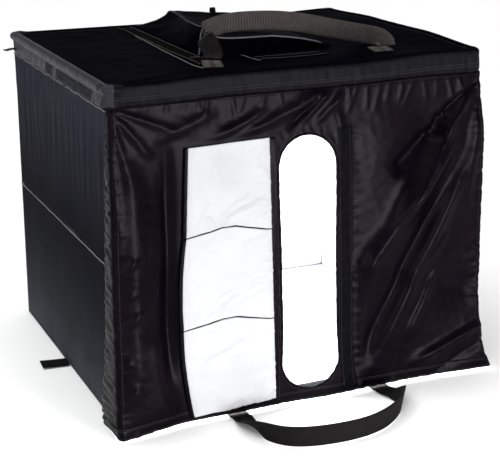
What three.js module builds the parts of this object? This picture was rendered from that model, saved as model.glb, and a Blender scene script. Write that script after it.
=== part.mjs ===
// A folding fabric enclosure for a desktop 3-D printer.
// Stiff boards sewn into black nylon make the floor and the side walls. Each side wall creases
// at mid-height and folds inwards, so the lid comes straight down onto the floor. A loose front
// curtain hangs from the lid, with a tall rounded window and three window flaps.
// Millimetres. +X is the right side, -Y the front, +Z up. The origin is the centre of the underside.

import * as THREE from 'three';

// Overall size of the standing box.
const WIDTH = 762;
const DEPTH = 635;
const HEIGHT = 635;

// Layers of a panel.
const CLEARANCE = 0.3;
const SKIN = 1.6;
const BOARD = 4;
const PIPING_RADIUS = 1.8;
const CREASE_SPACE = 2.4;

// Lid tray.
const RIM_HEIGHT = 35;
const RIM_WALL = 3;
const RIM_CORNER = 14;
const TOP_SKIN = 2.5;
const ROD_RADIUS = 5;
const ELBOW_RADIUS = 16;
const BEND_HANDLE = 0.45;

// Side walls: outer face, and the three crease lines that let them fold.
const SIDE_FACE = WIDTH / 2 - 4;
const SIDE_STACK = 2 * SKIN + BOARD + 2 * CLEARANCE;
const INNER_CREASE_X = SIDE_FACE - SIDE_STACK - CLEARANCE;
const OUTER_CREASE_X = SIDE_FACE + CLEARANCE;
const BOTTOM_CREASE_Z = 10;
const TOP_CREASE_Z = HEIGHT - RIM_HEIGHT - CREASE_SPACE;
const MIDDLE_CREASE_Z = (BOTTOM_CREASE_Z + TOP_CREASE_Z) / 2;
const SIDE_FRONT = -DEPTH / 2 + 5;
const SIDE_BACK = DEPTH / 2 - 6;

// Top hatch.
const HATCH = { left: -95, right: 140, front: -85, back: 285 };
const HATCH_HINGE = { x: 165, z: HEIGHT + 3 };
const HATCH_COVER = { ridge: -110, foot: -118, front: -99, back: 296, rise: 52, thickness: 2.4 };
const HATCH_PIPING = { front: [-167, -238], back: [-152, 300] };
const HATCH_TAPES = { left: { x: [-147, -121], y: [-122, 298] }, front: { x: [-28, 116], y: [-186, -152] } };
const PULL_TAB = { left: 66, width: 12, inset: 2, depth: 4, height: 14 };
const TAPE = 1.6;

// Webbing.
const WEBBING = 38;
const WEBBING_THICK = 2.4;
const WEBBING_CORNER = 34;
const TOP_HANDLE = { left: -140, right: 213, y: -166, z: HEIGHT + 3, reach: 99, lean: 55 };
const TOP_PATCH = { margin: 2, front: -246, gap: 6, thickness: 2 };
const BASE_HANDLE = { left: -152, right: 152, y: -377, z: 1.6, reach: 156 };
const BOTTOM_STRAP_REACH = 55;
const REAR_TAB = { reach: 24, y: [284, 302], lift: 4 };

// Front curtain, in its own frame: x across, down from its top edge, out towards the front.
const CURTAIN = { y: -DEPTH / 2 - 3.5, z: HEIGHT - RIM_HEIGHT - 1.5, tilt: 4.4, length: 594 };
const CURTAIN_TOP = 2;
const CURTAIN_HALF_TOP = 376;
const CURTAIN_HALF_HEM = 395;
const CURTAIN_CLOTH = 1.6;
const CURTAIN_LINING = 1.2;
const HEM = { height: 20, inset: 1 };
const WINDOW = { left: -58, right: 62, top: 78, bottom: 572 };
const WINDOW_TAPE = { thickness: 1.2, hinge: [-88, -61], catch: [65, 98], top: 70, bottom: 573 };

// Window flaps.
const FLAP_HINGE = { x: -74, out: 4.6 };
const FLAP_WIDTH = 176;
const FLAP_EDGE = 7;
const FLAP_SKIN = 1.4;
const FLAP_ENDS = [[76, 245], [247, 417], [419, 584]];

const radians = THREE.MathUtils.degToRad;

const finishes = {
  nylon: { color: 0x17171b, roughness: 0.55, metalness: 0 },
  curtain_nylon: { color: 0x1b181c, roughness: 0.5, metalness: 0 },
  side_nylon: { color: 0x1d1f26, roughness: 0.5, metalness: 0 },
  piping: { color: 0x55545a, roughness: 0.7, metalness: 0 },
  webbing: { color: 0x26242a, roughness: 0.85, metalness: 0 },
  hook_tape: { color: 0x3a352c, roughness: 0.95, metalness: 0 },
  loop_tape: { color: 0x202024, roughness: 0.95, metalness: 0 },
  lining: { color: 0xf2f3f5, roughness: 0.4, metalness: 0 },
  board: { color: 0xb9bcc0, roughness: 0.6, metalness: 0 },
  rod: { color: 0x2c2c2e, roughness: 0.4, metalness: 0 },
  elbow: { color: 0x101012, roughness: 0.5, metalness: 0 },
};

const enclosure = new THREE.Group();

function place(parent, name, geometry, finish) {
  const mesh = new THREE.Mesh(geometry, new THREE.MeshStandardMaterial(finishes[finish]));
  mesh.name = name;
  parent.add(mesh);
  return mesh;
}

// A box between two corners.
function slab(x, y, z) {
  const geometry = new THREE.BoxGeometry(x[1] - x[0], y[1] - y[0], z[1] - z[0]);
  geometry.translate((x[0] + x[1]) / 2, (y[0] + y[1]) / 2, (z[0] + z[1]) / 2);
  return geometry;
}

// A round rod from one point to another.
function rod(from, to, radius, sides = 12) {
  const a = new THREE.Vector3(...from);
  const b = new THREE.Vector3(...to);
  const geometry = new THREE.CylinderGeometry(radius, radius, a.distanceTo(b), sides);
  const turn = new THREE.Quaternion().setFromUnitVectors(
    new THREE.Vector3(0, 1, 0),
    b.clone().sub(a).normalize(),
  );
  geometry.applyQuaternion(turn);
  const middle = a.add(b).multiplyScalar(0.5);
  geometry.translate(middle.x, middle.y, middle.z);
  return geometry;
}

function rectangle(path, x, y) {
  path.moveTo(x[0], y[0]);
  path.lineTo(x[1], y[0]);
  path.lineTo(x[1], y[1]);
  path.lineTo(x[0], y[1]);
  path.closePath();
  return path;
}

function roundedRectangle(path, x, y, radius) {
  path.moveTo(x[0] + radius, y[0]);
  path.lineTo(x[1] - radius, y[0]);
  path.absarc(x[1] - radius, y[0] + radius, radius, -Math.PI / 2, 0);
  path.lineTo(x[1], y[1] - radius);
  path.absarc(x[1] - radius, y[1] - radius, radius, 0, Math.PI / 2);
  path.lineTo(x[0] + radius, y[1]);
  path.absarc(x[0] + radius, y[1] - radius, radius, Math.PI / 2, Math.PI);
  path.lineTo(x[0], y[0] + radius);
  path.absarc(x[0] + radius, y[0] + radius, radius, Math.PI, Math.PI * 1.5);
  return path;
}

function extrude(shape, depth, curveSegments = 6) {
  return new THREE.ExtrudeGeometry(shape, { depth, curveSegments, bevelEnabled: false });
}

// A flat sheet in the ground plane, with holes, from one height up.
function sheet(shape, bottom, thickness) {
  const geometry = extrude(shape, thickness);
  geometry.translate(0, 0, bottom);
  return geometry;
}

// Floor: a board between a nylon skin underneath and a white lining on top.
function addFloor() {
  const x = [-SIDE_FACE, SIDE_FACE];
  const y = [-DEPTH / 2 + 4.7, DEPTH / 2 - 5.5];
  const bindingWidth = 3;
  const inner = {
    x: [x[0] + bindingWidth, x[1] - bindingWidth],
    y: [y[0] + bindingWidth, y[1] - bindingWidth],
  };
  const boardBottom = SKIN + CLEARANCE;
  const liningBottom = boardBottom + BOARD + CLEARANCE;
  const clear = (range) => [range[0] + CLEARANCE, range[1] - CLEARANCE];
  place(enclosure, 'base_cover', slab(x, y, [0, SKIN]), 'nylon');
  const boardHeights = [boardBottom, boardBottom + BOARD];
  place(enclosure, 'base_board', slab(clear(inner.x), clear(inner.y), boardHeights), 'board');
  const liningHeights = [liningBottom, liningBottom + SKIN];
  place(enclosure, 'floor_lining', slab(inner.x, inner.y, liningHeights), 'lining');
  const ring = rectangle(new THREE.Shape(), x, y);
  ring.holes.push(rectangle(new THREE.Path(), inner.x, inner.y));
  place(enclosure, 'base_edge_binding', sheet(ring, boardBottom, BOARD), 'nylon');
  for (const [side, sign] of [['left', -1], ['right', 1]]) {
    const near = SIDE_FACE + CLEARANCE;
    const far = SIDE_FACE + BOTTOM_STRAP_REACH;
    const span = [sign * near, sign * far].sort((a, b) => a - b);
    place(
      enclosure,
      `${side}_bottom_strap`,
      slab(span, [-WEBBING / 2, WEBBING / 2], [CLEARANCE, CLEARANCE + WEBBING_THICK]),
      'webbing',
    );
  }
}

// One half of a side wall: nylon outside, board, white lining inside.
function addSideHalf(side, sign, half, z) {
  const faces = [
    ['cover', 0, SKIN, 'side_nylon'],
    ['board', SKIN + CLEARANCE, BOARD, 'board'],
    ['lining', SKIN + BOARD + 2 * CLEARANCE, SKIN, 'lining'],
  ];
  for (const [layer, depth, thickness, finish] of faces) {
    const outer = sign * (SIDE_FACE - depth);
    const inner = sign * (SIDE_FACE - depth - thickness);
    const span = [Math.min(outer, inner), Math.max(outer, inner)];
    place(enclosure, `${side}_${half}_${layer}`, slab(span, [SIDE_FRONT, SIDE_BACK], z), finish);
  }
}

function addSides() {
  for (const [side, sign] of [['left', -1], ['right', 1]]) {
    addSideHalf(side, sign, 'lower', [BOTTOM_CREASE_Z + CREASE_SPACE, MIDDLE_CREASE_Z - CREASE_SPACE]);
    addSideHalf(side, sign, 'upper', [MIDDLE_CREASE_Z + CREASE_SPACE, TOP_CREASE_Z - CREASE_SPACE]);
    const creaseX = sign * OUTER_CREASE_X;
    const crease = rod(
      [creaseX, SIDE_FRONT, MIDDLE_CREASE_Z],
      [creaseX, SIDE_BACK, MIDDLE_CREASE_Z],
      PIPING_RADIUS,
    );
    place(enclosure, `${side}_middle_crease_piping`, crease, 'piping');
    const seamX = sign * (SIDE_FACE + PIPING_RADIUS + CLEARANCE);
    const seamZ = TOP_CREASE_Z - CREASE_SPACE - PIPING_RADIUS;
    place(
      enclosure,
      `${side}_top_seam_piping`,
      rod([seamX, SIDE_FRONT, seamZ], [seamX, SIDE_BACK, seamZ], PIPING_RADIUS - CLEARANCE),
      'piping',
    );
  }
}

// Lid: a shallow tray on a rod frame, with a hatch cut through its top and its ceiling.
function addLid() {
  const bottom = HEIGHT - RIM_HEIGHT;
  const outerX = [-WIDTH / 2, WIDTH / 2];
  const outerY = [-DEPTH / 2, DEPTH / 2];
  const inset = (range, by) => [range[0] + by, range[1] - by];
  const rim = roundedRectangle(new THREE.Shape(), outerX, outerY, RIM_CORNER);
  rim.holes.push(roundedRectangle(
    new THREE.Path(), inset(outerX, RIM_WALL), inset(outerY, RIM_WALL), RIM_CORNER - RIM_WALL,
  ));
  place(enclosure, 'lid_rim', sheet(rim, bottom, RIM_HEIGHT), 'nylon');

  const within = RIM_WALL + CLEARANCE;
  const hatchX = [HATCH.left, HATCH.right];
  const hatchY = [HATCH.front, HATCH.back];
  const panel = () => {
    const shape = roundedRectangle(
      new THREE.Shape(), inset(outerX, within), inset(outerY, within), RIM_CORNER - within,
    );
    shape.holes.push(rectangle(new THREE.Path(), hatchX, hatchY));
    return shape;
  };
  place(enclosure, 'lid_top_panel', sheet(panel(), HEIGHT - TOP_SKIN, TOP_SKIN), 'nylon');
  place(enclosure, 'lid_ceiling_lining', sheet(panel(), bottom, SKIN), 'lining');

  const rodX = WIDTH / 2 - within - ROD_RADIUS - CLEARANCE;
  const rodY = DEPTH / 2 - within - ROD_RADIUS - CLEARANCE;
  const rodZ = bottom + RIM_HEIGHT / 2;
  const endX = rodX - ELBOW_RADIUS - CLEARANCE;
  const endY = rodY - ELBOW_RADIUS - CLEARANCE;
  for (const [end, sign] of [['front', -1], ['back', 1]]) {
    const y = sign * rodY;
    place(enclosure, `lid_rod_${end}`, rod([-endX, y, rodZ], [endX, y, rodZ], ROD_RADIUS), 'rod');
  }
  for (const [side, sign] of [['left', -1], ['right', 1]]) {
    const x = sign * rodX;
    place(enclosure, `lid_rod_${side}`, rod([x, -endY, rodZ], [x, endY, rodZ], ROD_RADIUS), 'rod');
  }
  const section = new THREE.Shape();
  section.absarc(0, 0, ROD_RADIUS, 0, Math.PI * 2);
  for (const [name, signX, signY] of [
    ['front_left', -1, -1], ['front_right', 1, -1], ['back_left', -1, 1], ['back_right', 1, 1],
  ]) {
    const handle = ELBOW_RADIUS * BEND_HANDLE;
    const bend = new THREE.CubicBezierCurve3(
      new THREE.Vector3(signX * (rodX - ELBOW_RADIUS), signY * rodY, rodZ),
      new THREE.Vector3(signX * (rodX - handle), signY * rodY, rodZ),
      new THREE.Vector3(signX * rodX, signY * (rodY - handle), rodZ),
      new THREE.Vector3(signX * rodX, signY * (rodY - ELBOW_RADIUS), rodZ),
    );
    const elbow = new THREE.ExtrudeGeometry(section, { extrudePath: bend, steps: 6, curveSegments: 6 });
    place(enclosure, `lid_elbow_${name}`, elbow, 'elbow');
  }
  place(
    enclosure,
    'rear_corner_tab',
    slab(
      [-WIDTH / 2 - REAR_TAB.reach, -WIDTH / 2 - CLEARANCE],
      REAR_TAB.y,
      [bottom + REAR_TAB.lift, bottom + REAR_TAB.lift + WEBBING_THICK],
    ),
    'webbing',
  );
}

// Back wall: a nylon skin with a white lining, hanging between the lid and the floor.
function addBack() {
  const x = [-SIDE_FACE, SIDE_FACE];
  const top = HEIGHT - RIM_HEIGHT - CLEARANCE;
  const face = DEPTH / 2 - 1.5;
  const liningFace = face - SKIN - CLEARANCE;
  const foot = 1;
  place(enclosure, 'back_wall', slab(x, [face - SKIN, face], [foot, top]), 'nylon');
  place(enclosure, 'back_lining', slab(x, [liningFace - SKIN, liningFace], [BOTTOM_CREASE_Z, top]), 'lining');
}

// Top hatch: a loose cover hinged on its right, standing proud of the lid on its left.
function addHatch() {
  const top = HEIGHT + CLEARANCE;
  const tapes = [top, top + TAPE];
  for (const side of ['left', 'front']) {
    const strip = HATCH_TAPES[side];
    place(enclosure, `hatch_hook_tape_${side}`, slab(strip.x, strip.y, tapes), 'hook_tape');
  }
  const pipeZ = top + PIPING_RADIUS;
  const border = rod([...HATCH_PIPING.front, pipeZ], [...HATCH_PIPING.back, pipeZ], PIPING_RADIUS, 8);
  place(enclosure, 'hatch_border_piping_left', border, 'piping');

  const { x, z } = HATCH_HINGE;
  const { front, back, thickness } = HATCH_COVER;
  const pivot = rod([x, front, z], [x, back, z], PIPING_RADIUS, 8);
  place(enclosure, 'hatch_hinge_piping', pivot, 'piping');
  place(enclosure, 'hatch_cover', hatchCover(tapes[1] + 1), 'nylon');

  const slope = (HEIGHT + HATCH_COVER.rise - z) / (x - HATCH_COVER.ridge);
  const tabBottom = z + (x - PULL_TAB.left) * slope + thickness;
  const tabBack = back - PULL_TAB.inset;
  const tab = slab(
    [PULL_TAB.left, PULL_TAB.left + PULL_TAB.width],
    [tabBack - PULL_TAB.depth, tabBack],
    [tabBottom, tabBottom + PULL_TAB.height],
  );
  place(enclosure, 'hatch_pull_tab', tab, 'webbing');
}

// The hatch's cover: it slopes up from its hinge to a ridge, then drops to just above the tapes.
function hatchCover(footZ) {
  const { thickness, front, back } = HATCH_COVER;
  const ridge = new THREE.Vector2(HATCH_COVER.ridge, HEIGHT + HATCH_COVER.rise);
  const hinge = new THREE.Vector2(HATCH_HINGE.x, HATCH_HINGE.z);
  const along = ridge.clone().sub(hinge).normalize();
  const start = hinge.clone().addScaledVector(along, CREASE_SPACE);
  const up = new THREE.Vector2(along.y, -along.x).multiplyScalar(thickness / 2);
  const profile = new THREE.Shape();
  profile.moveTo(start.x - up.x, start.y - up.y);
  profile.lineTo(start.x + up.x, start.y + up.y);
  profile.lineTo(ridge.x, ridge.y);
  profile.lineTo(HATCH_COVER.foot, footZ);
  profile.lineTo(HATCH_COVER.foot + thickness, footZ);
  profile.lineTo(ridge.x + thickness, ridge.y - thickness);
  profile.closePath();
  const cover = extrude(profile, back - front);
  cover.rotateX(Math.PI / 2);
  cover.translate(0, back, 0);
  return cover;
}

// A flat webbing loop: a rounded arch, lying in the ground plane and reaching along +Y.
function webbingArch(left, right, reach) {
  const half = WEBBING / 2;
  const path = (shape, x0, x1, y1, radius) => {
    shape.moveTo(x0, CREASE_SPACE);
    shape.lineTo(x0, y1 - radius);
    shape.absarc(x0 + radius, y1 - radius, radius, Math.PI, Math.PI / 2, true);
    shape.lineTo(x1 - radius, y1);
    shape.absarc(x1 - radius, y1 - radius, radius, Math.PI / 2, 0, true);
    shape.lineTo(x1, CREASE_SPACE);
  };
  const outer = new THREE.Shape();
  path(outer, left - half, right + half, reach, WEBBING_CORNER);
  const inner = new THREE.Shape();
  path(inner, left + half, right - half, reach - WEBBING, WEBBING_CORNER / 2);
  const points = outer.getPoints(6).concat(inner.getPoints(6).reverse());
  const geometry = extrude(new THREE.Shape(points), WEBBING_THICK);
  geometry.translate(0, 0, -WEBBING_THICK / 2);
  return geometry;
}

function addHandles() {
  const patchHalf = WEBBING / 2 + TOP_PATCH.margin;
  const patch = (x) => [x - patchHalf, x + patchHalf];
  const patchY = [TOP_PATCH.front, TOP_HANDLE.y - TOP_PATCH.gap];
  const patchZ = [HEIGHT + CLEARANCE, HEIGHT + CLEARANCE + TOP_PATCH.thickness];
  for (const side of ['left', 'right']) {
    const stitched = slab(patch(TOP_HANDLE[side]), patchY, patchZ);
    place(enclosure, `top_handle_patch_${side}`, stitched, 'webbing');
    const x = BASE_HANDLE[side];
    place(
      enclosure,
      `base_handle_root_${side}`,
      slab(
        [x - WEBBING / 2, x + WEBBING / 2],
        [BASE_HANDLE.y + CREASE_SPACE, -DEPTH / 2 + 4.4],
        [BASE_HANDLE.z - WEBBING_THICK / 2, BASE_HANDLE.z + WEBBING_THICK / 2],
      ),
      'webbing',
    );
  }
  const topLoop = new THREE.Group();
  topLoop.position.set(0, TOP_HANDLE.y, TOP_HANDLE.z);
  topLoop.rotation.x = radians(TOP_HANDLE.lean);
  enclosure.add(topLoop);
  const topArch = webbingArch(TOP_HANDLE.left, TOP_HANDLE.right, TOP_HANDLE.reach);
  place(topLoop, 'top_handle_loop', topArch, 'webbing');

  const baseLoop = new THREE.Group();
  baseLoop.position.set(0, BASE_HANDLE.y, BASE_HANDLE.z);
  baseLoop.rotation.z = Math.PI;
  enclosure.add(baseLoop);
  const baseArch = webbingArch(-BASE_HANDLE.right, -BASE_HANDLE.left, BASE_HANDLE.reach);
  place(baseLoop, 'base_handle_loop', baseArch, 'webbing');
}

// A flat piece of the curtain: its outline is x across and height from the hinge (down is
// negative), and it lies between two distances out from the hinge line.
function curtainLayer(shape, out) {
  const geometry = extrude(shape, out[1] - out[0], 10);
  geometry.rotateX(Math.PI / 2);
  geometry.translate(0, -out[0], 0);
  return geometry;
}

function curtainOutline() {
  const shape = new THREE.Shape();
  shape.moveTo(-CURTAIN_HALF_TOP, -CURTAIN_TOP);
  shape.lineTo(-CURTAIN_HALF_HEM, -CURTAIN.length);
  shape.lineTo(CURTAIN_HALF_HEM, -CURTAIN.length);
  shape.lineTo(CURTAIN_HALF_TOP, -CURTAIN_TOP);
  shape.closePath();
  const radius = (WINDOW.right - WINDOW.left) / 2;
  const middle = (WINDOW.right + WINDOW.left) / 2;
  const hole = new THREE.Path();
  hole.moveTo(WINDOW.right, -WINDOW.bottom + radius);
  hole.lineTo(WINDOW.right, -WINDOW.top - radius);
  hole.absarc(middle, -WINDOW.top - radius, radius, 0, Math.PI);
  hole.lineTo(WINDOW.left, -WINDOW.bottom + radius);
  hole.absarc(middle, -WINDOW.bottom + radius, radius, Math.PI, Math.PI * 2);
  shape.holes.push(hole);
  return shape;
}

// Half the curtain's width at a distance down from its hinge.
function curtainHalf(down) {
  const share = (down - CURTAIN_TOP) / (CURTAIN.length - CURTAIN_TOP);
  return CURTAIN_HALF_TOP + (CURTAIN_HALF_HEM - CURTAIN_HALF_TOP) * share;
}

function hemOutline() {
  const top = CURTAIN.length - HEM.height;
  const topHalf = curtainHalf(top) - HEM.inset;
  const footHalf = CURTAIN_HALF_HEM - HEM.inset;
  const shape = new THREE.Shape();
  shape.moveTo(-topHalf, -top);
  shape.lineTo(-footHalf, -CURTAIN.length);
  shape.lineTo(footHalf, -CURTAIN.length);
  shape.lineTo(topHalf, -top);
  shape.closePath();
  return shape;
}

function band(x, down) {
  return rectangle(new THREE.Shape(), x, [-down[1], -down[0]]);
}

function addCurtain() {
  const frame = new THREE.Group();
  frame.position.set(0, CURTAIN.y, CURTAIN.z);
  frame.rotation.x = -radians(CURTAIN.tilt);
  enclosure.add(frame);
  place(
    frame,
    'curtain_hinge_cord',
    rod([-CURTAIN_HALF_TOP, 0, 0], [CURTAIN_HALF_TOP, 0, 0], 1.2, 8),
    'piping',
  );
  const front = CURTAIN_CLOTH / 2;
  place(frame, 'front_curtain', curtainLayer(curtainOutline(), [-front, front]), 'curtain_nylon');
  const liningFront = -front - CLEARANCE;
  const lining = curtainLayer(curtainOutline(), [liningFront - CURTAIN_LINING, liningFront]);
  place(frame, 'front_curtain_lining', lining, 'lining');
  const onFront = [front + CLEARANCE, front + CLEARANCE + WINDOW_TAPE.thickness];
  place(frame, 'curtain_hem', curtainLayer(hemOutline(), onFront), 'curtain_nylon');
  const tapeEnds = [WINDOW_TAPE.top, WINDOW_TAPE.bottom];
  place(frame, 'window_hinge_tape', curtainLayer(band(WINDOW_TAPE.hinge, tapeEnds), onFront), 'loop_tape');
  place(frame, 'window_catch_tape', curtainLayer(band(WINDOW_TAPE.catch, tapeEnds), onFront), 'loop_tape');

  const thick = 2 * FLAP_SKIN + CLEARANCE;
  const back = FLAP_HINGE.out - thick / 2;
  const face = FLAP_HINGE.out + thick / 2;
  const right = FLAP_HINGE.x - CREASE_SPACE;
  const left = right - FLAP_WIDTH;
  ['upper', 'middle', 'lower'].forEach((which, index) => {
    const down = FLAP_ENDS[index];
    const shell = curtainLayer(band([left, right], down), [back, back + FLAP_SKIN]);
    place(frame, `window_flap_${which}_shell`, shell, 'curtain_nylon');
    const inside = curtainLayer(band([left + FLAP_EDGE, right], down), [face - FLAP_SKIN, face]);
    place(frame, `window_flap_${which}_lining`, inside, 'lining');
  });
}

addFloor();
addSides();
addLid();
addBack();
addHatch();
addHandles();
addCurtain();

export default enclosure;
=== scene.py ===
"""A folding fabric enclosure for a desktop 3-D printer, dressed in cloth.

The CAD frame gives every place and every moving body. Each fabric piece is a function from the
cloth's own flat coordinates to a point of the object, so a seam, a tape or a row of stitches on
a piece follows the same folds. Lengths in the code are millimetres; meshes are made in metres.
"""

import math

import bpy
import numpy as np
from mathutils import Matrix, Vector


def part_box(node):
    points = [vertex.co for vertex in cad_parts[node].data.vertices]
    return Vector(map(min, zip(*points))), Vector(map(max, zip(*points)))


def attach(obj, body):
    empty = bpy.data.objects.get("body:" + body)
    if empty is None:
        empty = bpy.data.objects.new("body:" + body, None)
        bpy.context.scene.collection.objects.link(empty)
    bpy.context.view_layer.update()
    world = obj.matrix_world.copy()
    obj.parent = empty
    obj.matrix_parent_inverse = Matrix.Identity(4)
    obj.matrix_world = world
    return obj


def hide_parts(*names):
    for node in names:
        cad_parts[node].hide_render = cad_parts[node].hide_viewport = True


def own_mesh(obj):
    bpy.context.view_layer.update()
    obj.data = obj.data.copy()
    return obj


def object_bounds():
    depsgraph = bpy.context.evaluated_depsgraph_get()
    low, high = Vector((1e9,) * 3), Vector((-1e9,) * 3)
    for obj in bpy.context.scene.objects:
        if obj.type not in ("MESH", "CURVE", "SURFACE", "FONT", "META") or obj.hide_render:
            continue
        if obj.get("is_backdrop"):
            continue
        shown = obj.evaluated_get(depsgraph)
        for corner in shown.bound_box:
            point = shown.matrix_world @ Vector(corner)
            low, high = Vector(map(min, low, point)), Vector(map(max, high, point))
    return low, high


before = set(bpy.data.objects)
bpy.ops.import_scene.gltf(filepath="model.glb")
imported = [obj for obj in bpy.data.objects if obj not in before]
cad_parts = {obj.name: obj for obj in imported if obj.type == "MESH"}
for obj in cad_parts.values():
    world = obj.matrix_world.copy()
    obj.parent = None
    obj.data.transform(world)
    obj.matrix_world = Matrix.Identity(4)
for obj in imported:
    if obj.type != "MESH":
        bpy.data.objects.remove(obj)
cad_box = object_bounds()

MM = 0.001
TAU = math.tau


def cad(node):
    """The lowest and highest corner of a CAD node, in millimetres."""
    low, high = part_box(node)
    return np.array(low, float) / MM, np.array(high, float) / MM


# ---------------------------------------------------------------- numbers and fields


def smooth(t):
    t = np.clip(t, 0.0, 1.0)
    return t * t * (3 - 2 * t)


def ramp(value, *pairs):
    """Straight-line interpolation through (position, value) pairs."""
    return np.interp(value, [p[0] for p in pairs], [p[1] for p in pairs])


def ripple(u, v, size, seed, stretch=(1.0, 1.0), waves=9):
    """A smooth field between about -1 and 1, with features of about that size."""
    draw = np.random.default_rng(seed)
    total = np.zeros(np.broadcast(u, v).shape)
    for _ in range(waves):
        turn = draw.uniform(0, TAU)
        number = TAU / (size * draw.uniform(0.8, 1.9))
        along = u / stretch[0] * math.cos(turn) + v / stretch[1] * math.sin(turn)
        total += np.sin(along * number + draw.uniform(0, TAU))
    return total / math.sqrt(waves * 0.9)


def creases(u, v, size, seed, stretch=(1.0, 1.0)):
    """Sharp little crease lines, as thin coated cloth shows: 1 on a line, falling to 0."""
    field = ripple(u, v, size, seed, stretch)
    return np.exp(-np.abs(field) * 5.0)


def fold(u, v, start, end, height, width, spread=1.0, fade=0.3, lap=1.0):
    """A ridge or, with a negative height, a valley from start to end.

    width is its half width at the start and spread times that at the end. lap under 1 makes
    one flank steeper than the other."""
    ends = np.array([start, end], float)
    run = ends[1] - ends[0]
    length = float(np.hypot(*run))
    t = ((u - start[0]) * run[0] + (v - start[1]) * run[1]) / length**2
    aside = ((u - start[0]) * run[1] - (v - start[1]) * run[0]) / length
    half = width * (1 + (spread - 1) * np.clip(t, 0, 1))
    half = np.where(aside > 0, half, half * lap)
    lengthwise = smooth(t / fade + 0.3) * smooth((1 - t) / fade + 0.3)
    return height * lengthwise * np.exp(-np.abs(aside / half) ** 1.7)


def spline(points, steps):
    """A smooth curve through the points, as many steps between each pair."""
    p = np.array(points, float)
    p = np.vstack([2 * p[0] - p[1], p, 2 * p[-1] - p[-2]])
    t = np.linspace(0, 1, steps, endpoint=False)[:, None]
    out = []
    for a, b, c, d in zip(p, p[1:], p[2:], p[3:]):
        square, cube = 2 * a - 5 * b + 4 * c - d, 3 * b - a - 3 * c + d
        out.append(0.5 * (2 * b + (c - a) * t + square * t**2 + cube * t**3))
    return np.vstack(out + [p[-2][None]])


def evenly(points, pitch):
    """The polyline walked in equal steps of about that pitch."""
    p = np.array(points, float)
    at = np.concatenate([[0], np.cumsum(np.linalg.norm(np.diff(p, axis=0), axis=1))])
    count = max(2, int(round(at[-1] / pitch)) + 1)
    want = np.linspace(0, at[-1], count)
    return np.stack([np.interp(want, at, p[:, k]) for k in range(p.shape[1])], axis=1)


def resample(points, count):
    """The polyline's numbers at as many evenly numbered places."""
    want, have = np.linspace(0, 1, count), np.linspace(0, 1, len(points))
    return np.stack([np.interp(want, have, points[:, k]) for k in range(2)], 1)


def unit(v):
    return v / np.maximum(np.linalg.norm(v, axis=-1, keepdims=True), 1e-9)


# ---------------------------------------------------------------- materials


class Tree:
    """A short way to write node trees."""

    def __init__(self, name):
        self.material = bpy.data.materials.new(name)
        self.material.use_nodes = True
        self.tree = self.material.node_tree
        self.shader = self.tree.nodes["Principled BSDF"]

    def node(self, kind, links=None, **settings):
        made = self.tree.nodes.new(kind)
        for key, value in settings.items():
            setattr(made, key, value)
        for key, value in (links or {}).items():
            socket = made.inputs[key]
            if isinstance(value, bpy.types.NodeSocket):
                self.tree.links.new(value, socket)
            else:
                socket.default_value = value
        return made

    def link(self, source, target):
        self.tree.links.new(source, self.shader.inputs[target])

    def math(self, operation, a, b):
        return self.node("ShaderNodeMath", {0: a, 1: b}, operation=operation).outputs[0]

    def wave(self, at, pitch, direction, distortion=0.0):
        """A band pattern with that pitch in millimetres."""
        return self.node(
            "ShaderNodeTexWave",
            {"Vector": at, "Scale": 0.314 / (pitch * MM), "Distortion": distortion},
            bands_direction=direction,
        ).outputs["Fac"]

    def noise(self, at, size, detail=3.0, roughness=0.55):
        """Noise with features of that size in millimetres."""
        return self.node(
            "ShaderNodeTexNoise",
            {"Vector": at, "Scale": 1 / (size * MM), "Detail": detail, "Roughness": roughness},
        ).outputs["Fac"]

    def between(self, value, low, high, start=0.3, stop=0.7):
        return self.node(
            "ShaderNodeMapRange",
            {"Value": value, "From Min": start, "From Max": stop, "To Min": low, "To Max": high},
        ).outputs[0]

    def blend(self, value, first, second):
        made = self.node("ShaderNodeMix", {"Factor": value}, data_type="RGBA")
        for socket, colour in ((made.inputs[6], first), (made.inputs[7], second)):
            if isinstance(colour, bpy.types.NodeSocket):
                self.tree.links.new(colour, socket)
            else:
                socket.default_value = (*colour, 1)
        return made.outputs[2]

    def bump(self, height, depth, under=None):
        links = {"Height": height, "Strength": 1.0, "Distance": depth * MM}
        if under is not None:
            links["Normal"] = under
        return self.node("ShaderNodeBump", links).outputs["Normal"]


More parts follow.
